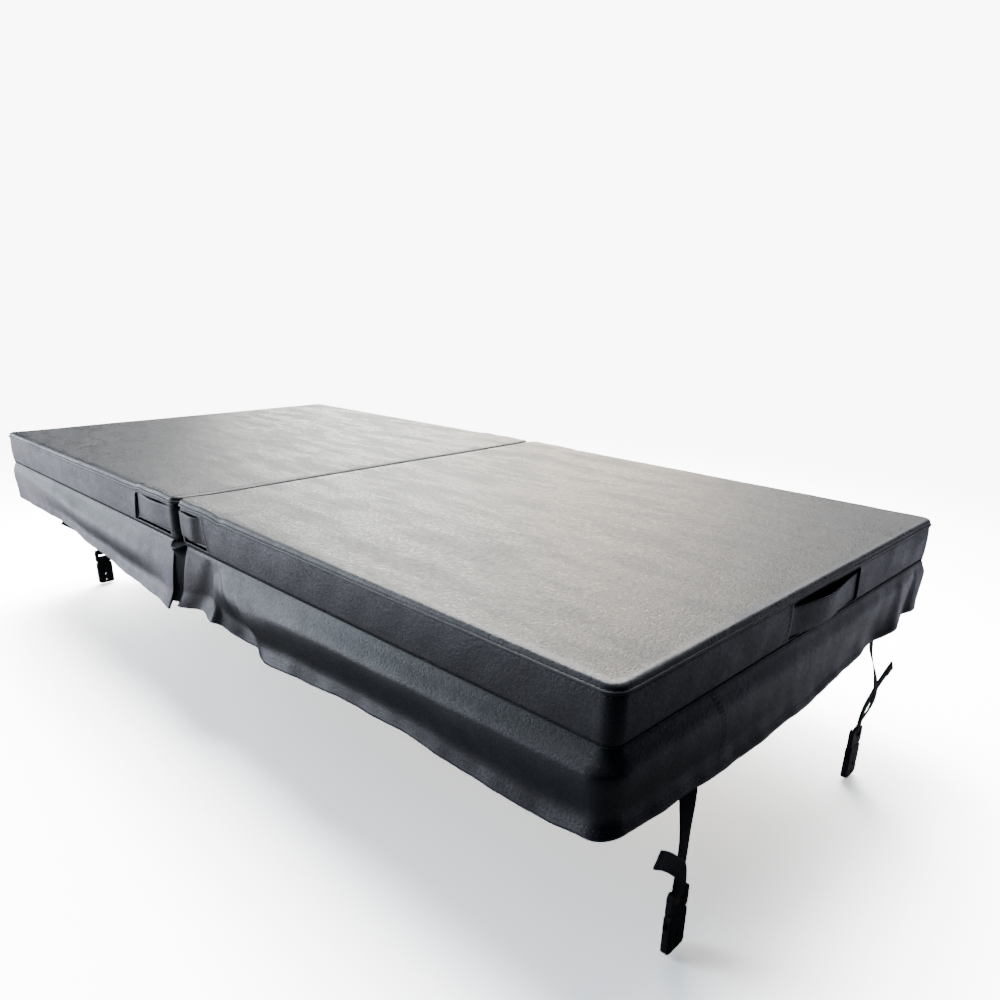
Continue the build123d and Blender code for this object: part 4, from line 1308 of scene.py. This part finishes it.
def beads(name, rgb):
    """Expanded polystyrene: pressed beads with a faint line between them."""
    n, shader, place = start_material(name)
    cells = n.add("ShaderNodeTexVoronoi", {"feature": "DISTANCE_TO_EDGE"}, Vector=place, Scale=260.0)
    edge = n.between(cells.outputs["Distance"], 0.0, 0.12)
    base = n.blend(edge, colour(rgb, 0.82), colour(rgb))
    n.feed_all(shader, Base_Color=base, Normal=n.relief(edge, 0.5, 0.0004))
    shader.inputs["Roughness"].default_value = 0.7


def build_materials(colours):
    """Every finish of the cover."""
    groups = {"grain": grain_group(), "clouds": cloud_group(), "wear_and_highlight": wear_and_highlight_group(), "weave": weave_group()}
    base = tuple(colours.vinyl)
    # name, tint, roughness, size of the grain and of the clouds, scuffing, relief, and wear with its
    # painted highlight on marked edges
    for name, tint, rough, cell, size, scuff, bump, wear_and_highlight in (
        ("top_vinyl", 1.2, 0.27, 0.0030, 0.12, 0.60, 0.90, 0.5),
        ("side_vinyl", 1.0, 0.38, 0.0025, 0.12, 0.35, 0.36, 0.0),
        ("skirt_vinyl", 1.0, 0.33, 0.0025, 0.14, 0.30, 0.26, 0.5),
        ("handle_vinyl", 1.05, 0.40, 0.0022, 0.08, 0.35, 0.25, 0.0),
        # The piping and the gusset bindings are tinted 1.3 times lighter than the vinyl: a painted
        # highlight along the welt.
        ("welt_vinyl", 1.3, 0.34, 0.0018, 0.05, 0.35, 0.20, 0.0),
        ("seal_vinyl", 0.8, 0.48, 0.0022, 0.10, 0.20, 0.30, 0.0),
    ):
        vinyl(name, [c * tint for c in base], rough, groups, cell, size, scuff, bump, wear_and_highlight)
    # name, colour, width of the thread, roughness and sheen
    for name, rgb, thread, rough, sheen in (
        ("hinge_cloth", [c * 1.4 for c in base], 0.0010, 0.85, 0.20),
        ("gusset_cloth", (0.010, 0.012, 0.017), 0.0010, 0.85, 0.05),
        ("webbing", tuple(colours.webbing), 0.0014, 0.70, 0.20),
        ("liner_mesh", [c * 1.3 for c in base], 0.0022, 0.85, 0.20),
        ("zip_cloth", (0.020, 0.020, 0.022), 0.0008, 0.85, 0.20),
    ):
        cloth(name, rgb, groups, thread, rough, sheen)
    speckled("zip_nylon", (0.022, 0.022, 0.024), 0.40)
    speckled("zip_metal", (0.30, 0.30, 0.31), 0.32, metal=1.0)
    speckled("eyelet_plastic", (0.03, 0.03, 0.033), 0.42)
    speckled("buckle_plastic", (0.018, 0.018, 0.020), 0.42)
    speckled("vapor_film", (0.70, 0.73, 0.75), 0.25)
    speckled("galvanised_steel", (0.55, 0.57, 0.59), 0.38, scale=300.0, metal=1.0)
    speckled("thread", tuple(colours.thread), 0.55, scale=3000.0)
    beads("eps_foam", (0.86, 0.87, 0.86))


def floor_material():
    """Pale matt floor that fades into the backdrop, throws little light up and is clear from below."""
    material = bpy.data.materials.new("studio_floor")
    material.use_nodes = True
    material.node_tree.nodes.clear()
    n = Nodes(material.node_tree)
    place = n.add("ShaderNodeTexCoord").outputs["Object"]
    noise = n.noise(place, 2.0, 2.0).outputs["Fac"]
    bright = n.blend(noise, *((FLOOR_SEEN * uneven,) * 3 + (1.0,) for uneven in (0.98, 1.02)))
    seen = n.add("ShaderNodeBsdfDiffuse", Color=bright).outputs[0]
    dull = n.add("ShaderNodeBsdfDiffuse", Color=(0.14, 0.145, 0.155, 1.0)).outputs[0]
    clear = n.add("ShaderNodeBsdfTransparent").outputs[0]
    away = n.add("ShaderNodeVectorMath", {"operation": "LENGTH"}, i0=place).outputs["Value"]
    seen = n.mix_shaders(n.between(away, 1.5, 3.6), seen, clear)
    dull = n.mix_shaders(n.between(away, 0.8, 2.4), dull, clear)
    above = n.mix_shaders(n.add("ShaderNodeLightPath").outputs["Is Camera Ray"], dull, seen)
    whole = n.mix_shaders(n.add("ShaderNodeNewGeometry").outputs["Backfacing"], above, clear)
    n.add("ShaderNodeOutputMaterial", Surface=whole)
    return material


# ---------------------------------------------------------------- settings, operators and panel


class CoverSizes(bpy.types.PropertyGroup):
    """Sizes that a user would change."""

    belly: FloatProperty(name="Skirt belly", description="How far the skirt swells out below the seam",
                         default=BELLY, unit="LENGTH")
    flare: FloatProperty(name="Skirt flare", description="How far the skirt stands out at its hem",
                         default=FLARE, unit="LENGTH")
    lens: FloatProperty(name="Lens", description="Focal length of the camera", default=28.35, unit="CAMERA")


class CoverColours(bpy.types.PropertyGroup):
    """Colours that a user would change."""

    vinyl: FloatVectorProperty(name="Vinyl", description="Marine vinyl of the panels and the skirt",
                               subtype="COLOR", size=3, default=(0.033, 0.0365, 0.043))
    webbing: FloatVectorProperty(name="Webbing", description="Tie-down straps", subtype="COLOR", size=3,
                                 default=(0.012, 0.013, 0.016))
    thread: FloatVectorProperty(name="Thread", description="Sewing thread", subtype="COLOR", size=3,
                                default=(0.115, 0.115, 0.12))


class COVER_OT_materials(bpy.types.Operator):
    """Make every finish"""

    bl_idname = "cover.materials"
    bl_label = "Finishes"

    def execute(self, context):
        build_materials(context.scene.cover_colours)
        return {"FINISHED"}


class COVER_OT_panels(bpy.types.Operator):
    """Top sheets, side bands, fold walls and piping"""

    bl_idname = "cover.panels"
    bl_label = "Panels"

    def execute(self, context):
        for side in SIDES:
            build_top(side)
            build_band(side)
            build_fold_wall(side)
            build_welt(side)
        return {"FINISHED"}


class COVER_OT_skirts(bpy.types.Operator):
    """Skirts with their folds and hems"""

    bl_idname = "cover.skirts"
    bl_label = "Skirts"

    def execute(self, context):
        for side in SIDES:
            build_skirt(side)
        return {"FINISHED"}


class COVER_OT_handles(bpy.types.Operator):
    """Handles and the trays behind them"""

    bl_idname = "cover.handles"
    bl_label = "Handles"

    def execute(self, context):
        for side in SIDES:
            build_pockets(side)
            build_handles(side)
        return {"FINISHED"}


class COVER_OT_fold(bpy.types.Operator):
    """Hinge cloth, seal and gussets of the fold"""

    bl_idname = "cover.fold"
    bl_label = "Fold"

    def execute(self, context):
        build_hinge()
        build_seal()
        build_gussets()
        return {"FINISHED"}


class COVER_OT_straps(bpy.types.Operator):
    """Tie-down straps"""

    bl_idname = "cover.straps"
    bl_label = "Straps"

    def execute(self, context):
        for side in SIDES:
            for corner in CORNERS:
                build_strap(side, corner)
        return {"FINISHED"}


class COVER_OT_stitching(bpy.types.Operator):
    """All rows of stitches"""

    bl_idname = "cover.stitching"
    bl_label = "Stitching"

    def execute(self, context):
        for side in SIDES:
            build_stitching(side)
        build_fold_stitching()
        return {"FINISHED"}


class COVER_OT_hardware(bpy.types.Operator):
    """Finishes of the buckles, zips, eyelets and inner pieces that the frame carries"""

    bl_idname = "cover.hardware"
    bl_label = "Hardware"

    def execute(self, context):
        slots = {part["node"]: part["material_slot"] for part in frame["record"]["subparts"]}
        for name, thing in frame["nodes"].items():
            thing.data.materials.clear()
            thing.data.materials.append(MATERIALS[slots[name]])
        return {"FINISHED"}


class COVER_OT_stage(bpy.types.Operator):
    """Floor, soft light and camera"""

    bl_idname = "cover.stage"
    bl_label = "Stage"

    def execute(self, context):
        build_floor()
        build_world(context.scene)
        build_lamp(context.scene)
        build_camera(context.scene)
        return {"FINISHED"}


OPERATORS = (COVER_OT_materials, COVER_OT_panels, COVER_OT_skirts, COVER_OT_handles, COVER_OT_fold,
             COVER_OT_straps, COVER_OT_stitching, COVER_OT_hardware, COVER_OT_stage)


class COVER_PT_sidebar(bpy.types.Panel):
    """The cover's settings and steps"""

    bl_label = "Hot tub cover"
    bl_idname = "COVER_PT_sidebar"
    bl_space_type = "VIEW_3D"
    bl_region_type = "UI"
    bl_category = "Cover"

    def draw(self, context):
        for settings in (context.scene.cover_sizes, context.scene.cover_colours):
            for key in settings.__annotations__:
                self.layout.prop(settings, key)
        for operator in OPERATORS:
            self.layout.operator(operator.bl_idname)


CLASSES = (CoverSizes, CoverColours, *OPERATORS, COVER_PT_sidebar)


def register():
    for cls in CLASSES:
        bpy.utils.register_class(cls)
    bpy.types.Scene.cover_sizes = PointerProperty(type=CoverSizes)
    bpy.types.Scene.cover_colours = PointerProperty(type=CoverColours)


def unregister():
    del bpy.types.Scene.cover_colours
    del bpy.types.Scene.cover_sizes
    for cls in reversed(CLASSES):
        bpy.utils.unregister_class(cls)


# ---------------------------------------------------------------- stage

CAMERA_PLACE = (1.404, -1.078, 0.445)
CAMERA_PAN = math.radians(43.97)
CAMERA_TILT = math.radians(-20.37)
CAMERA_ROLL = math.radians(1.2)
CAMERA_SHIFT = 0.087

# The sky's bright parts: azimuth from -X towards +Y, elevation and radius in degrees, and light.
SKY_LOBES = [
    (52, 12, 13, (9.5, 8.0, 6.0)),  # warm, low, behind the cover
    (36, 7, 13, (11.0, 11.0, 10.0)),  # pale, lower, behind the cover's left end
    (55, 42, 36, (5.0, 5.0, 5.0)),  # wide and high, for the whole top
    (-20, 14, 26, (4.0, 4.5, 5.0)),  # cool, on the left
    (-30, -16, 36, (3.0, 3.0, 3.5)),  # from the floor in front on the left
    (100, -16, 26, (1.0, 1.0, 1.2)),  # from the floor behind on the right
]
SKY_REST = (0.005, 0.01, 0.02)
LAMP_PLACE = (-0.8, 0.4, 3.0)
LAMP_SIZE = 2.4
LAMP_WATTS = 185
LAMP_COLOUR = (0.97, 0.96, 0.97)
PALE = 9.0  # light of the backdrop
FLOOR_SEEN = 9.0  # how much of its light the floor shows


def build_lamp(scene):
    """A large soft square above the cover that faces its middle and isn't seen itself."""
    data = bpy.data.lights.new("soft_box_above", "AREA")
    data.shape, data.size, data.size_y = "RECTANGLE", LAMP_SIZE, LAMP_SIZE
    data.energy, data.color = LAMP_WATTS, LAMP_COLOUR
    lamp = bpy.data.objects.new("soft_box_above", data)
    lamp.location = LAMP_PLACE
    lamp.rotation_euler = (-Vector(LAMP_PLACE)).to_track_quat("-Z", "Y").to_euler()
    lamp.visible_camera = False
    scene.collection.objects.link(lamp)


def build_world(scene):
    """A sky of soft bright parts: warm and low behind the cover, cool to its left, faint below.

    Each grows by a smooth step from its radius to its middle, and they are added.
    """
    world = bpy.data.worlds.new("studio")
    scene.world = world
    world.use_nodes = True
    world.node_tree.nodes.clear()
    n = Nodes(world.node_tree)
    way = n.add("ShaderNodeTexCoord").outputs["Generated"]
    total = SKY_REST + (1.0,)
    for azimuth, elevation, radius, rgb in SKY_LOBES:
        turn, up = math.radians(azimuth), math.radians(elevation)
        aim = (-math.cos(turn) * math.cos(up), math.sin(turn) * math.cos(up), math.sin(up))
        facing = n.add("ShaderNodeVectorMath", {"operation": "DOT_PRODUCT"}, i0=way, i1=aim)
        share = n.between(facing.outputs["Value"], math.cos(math.radians(radius)), 1.0)
        total = n.blend(1.0, total, n.blend(share, (0.0, 0.0, 0.0, 1.0), rgb + (1.0,)), "ADD")
    seen = n.add("ShaderNodeLightPath").outputs["Is Camera Ray"]
    light = n.add("ShaderNodeBackground", Color=total, Strength=1.0).outputs[0]
    pale = n.add("ShaderNodeBackground", Color=(1.0, 1.0, 1.0, 1.0), Strength=PALE).outputs[0]
    n.add("ShaderNodeOutputWorld", Surface=n.mix_shaders(seen, light, pale))


def build_floor():
    """A wide square just below the buckles."""
    reach, level = 40.0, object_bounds()[0][2] - 0.004
    corners = [(x * reach, y * reach, level) for x, y in ((-1, -1), (1, -1), (1, 1), (-1, 1))]
    floor = mesh_object("studio_floor", corners, [(0, 1, 2, 3)], smooth=False)
    floor.data.materials.append(floor_material())
    floor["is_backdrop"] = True


def build_camera(scene):
    """The camera above the right front corner: turned by its pan, then its tilt, then its roll."""
    data = bpy.data.cameras.new("camera")
    data.lens = scene.cover_sizes.lens
    data.sensor_width = 36.0
    data.shift_y = CAMERA_SHIFT
    data.clip_start, data.clip_end = 0.05, 100.0
    camera = bpy.data.objects.new("camera", data)
    turn = Matrix.Rotation(CAMERA_PAN, 4, "Z") @ Matrix.Rotation(math.pi / 2 + CAMERA_TILT, 4, "X")
    camera.matrix_world = Matrix.Translation(CAMERA_PLACE) @ turn @ Matrix.Rotation(CAMERA_ROLL, 4, "Z")
    scene.collection.objects.link(camera)
    scene.camera = camera


def main():
    """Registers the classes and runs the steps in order."""
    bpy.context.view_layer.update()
    register()
    for operator in OPERATORS:
        family, step = operator.bl_idname.split(".")
        getattr(getattr(bpy.ops, family), step)()


if __name__ == "__main__":
    main()
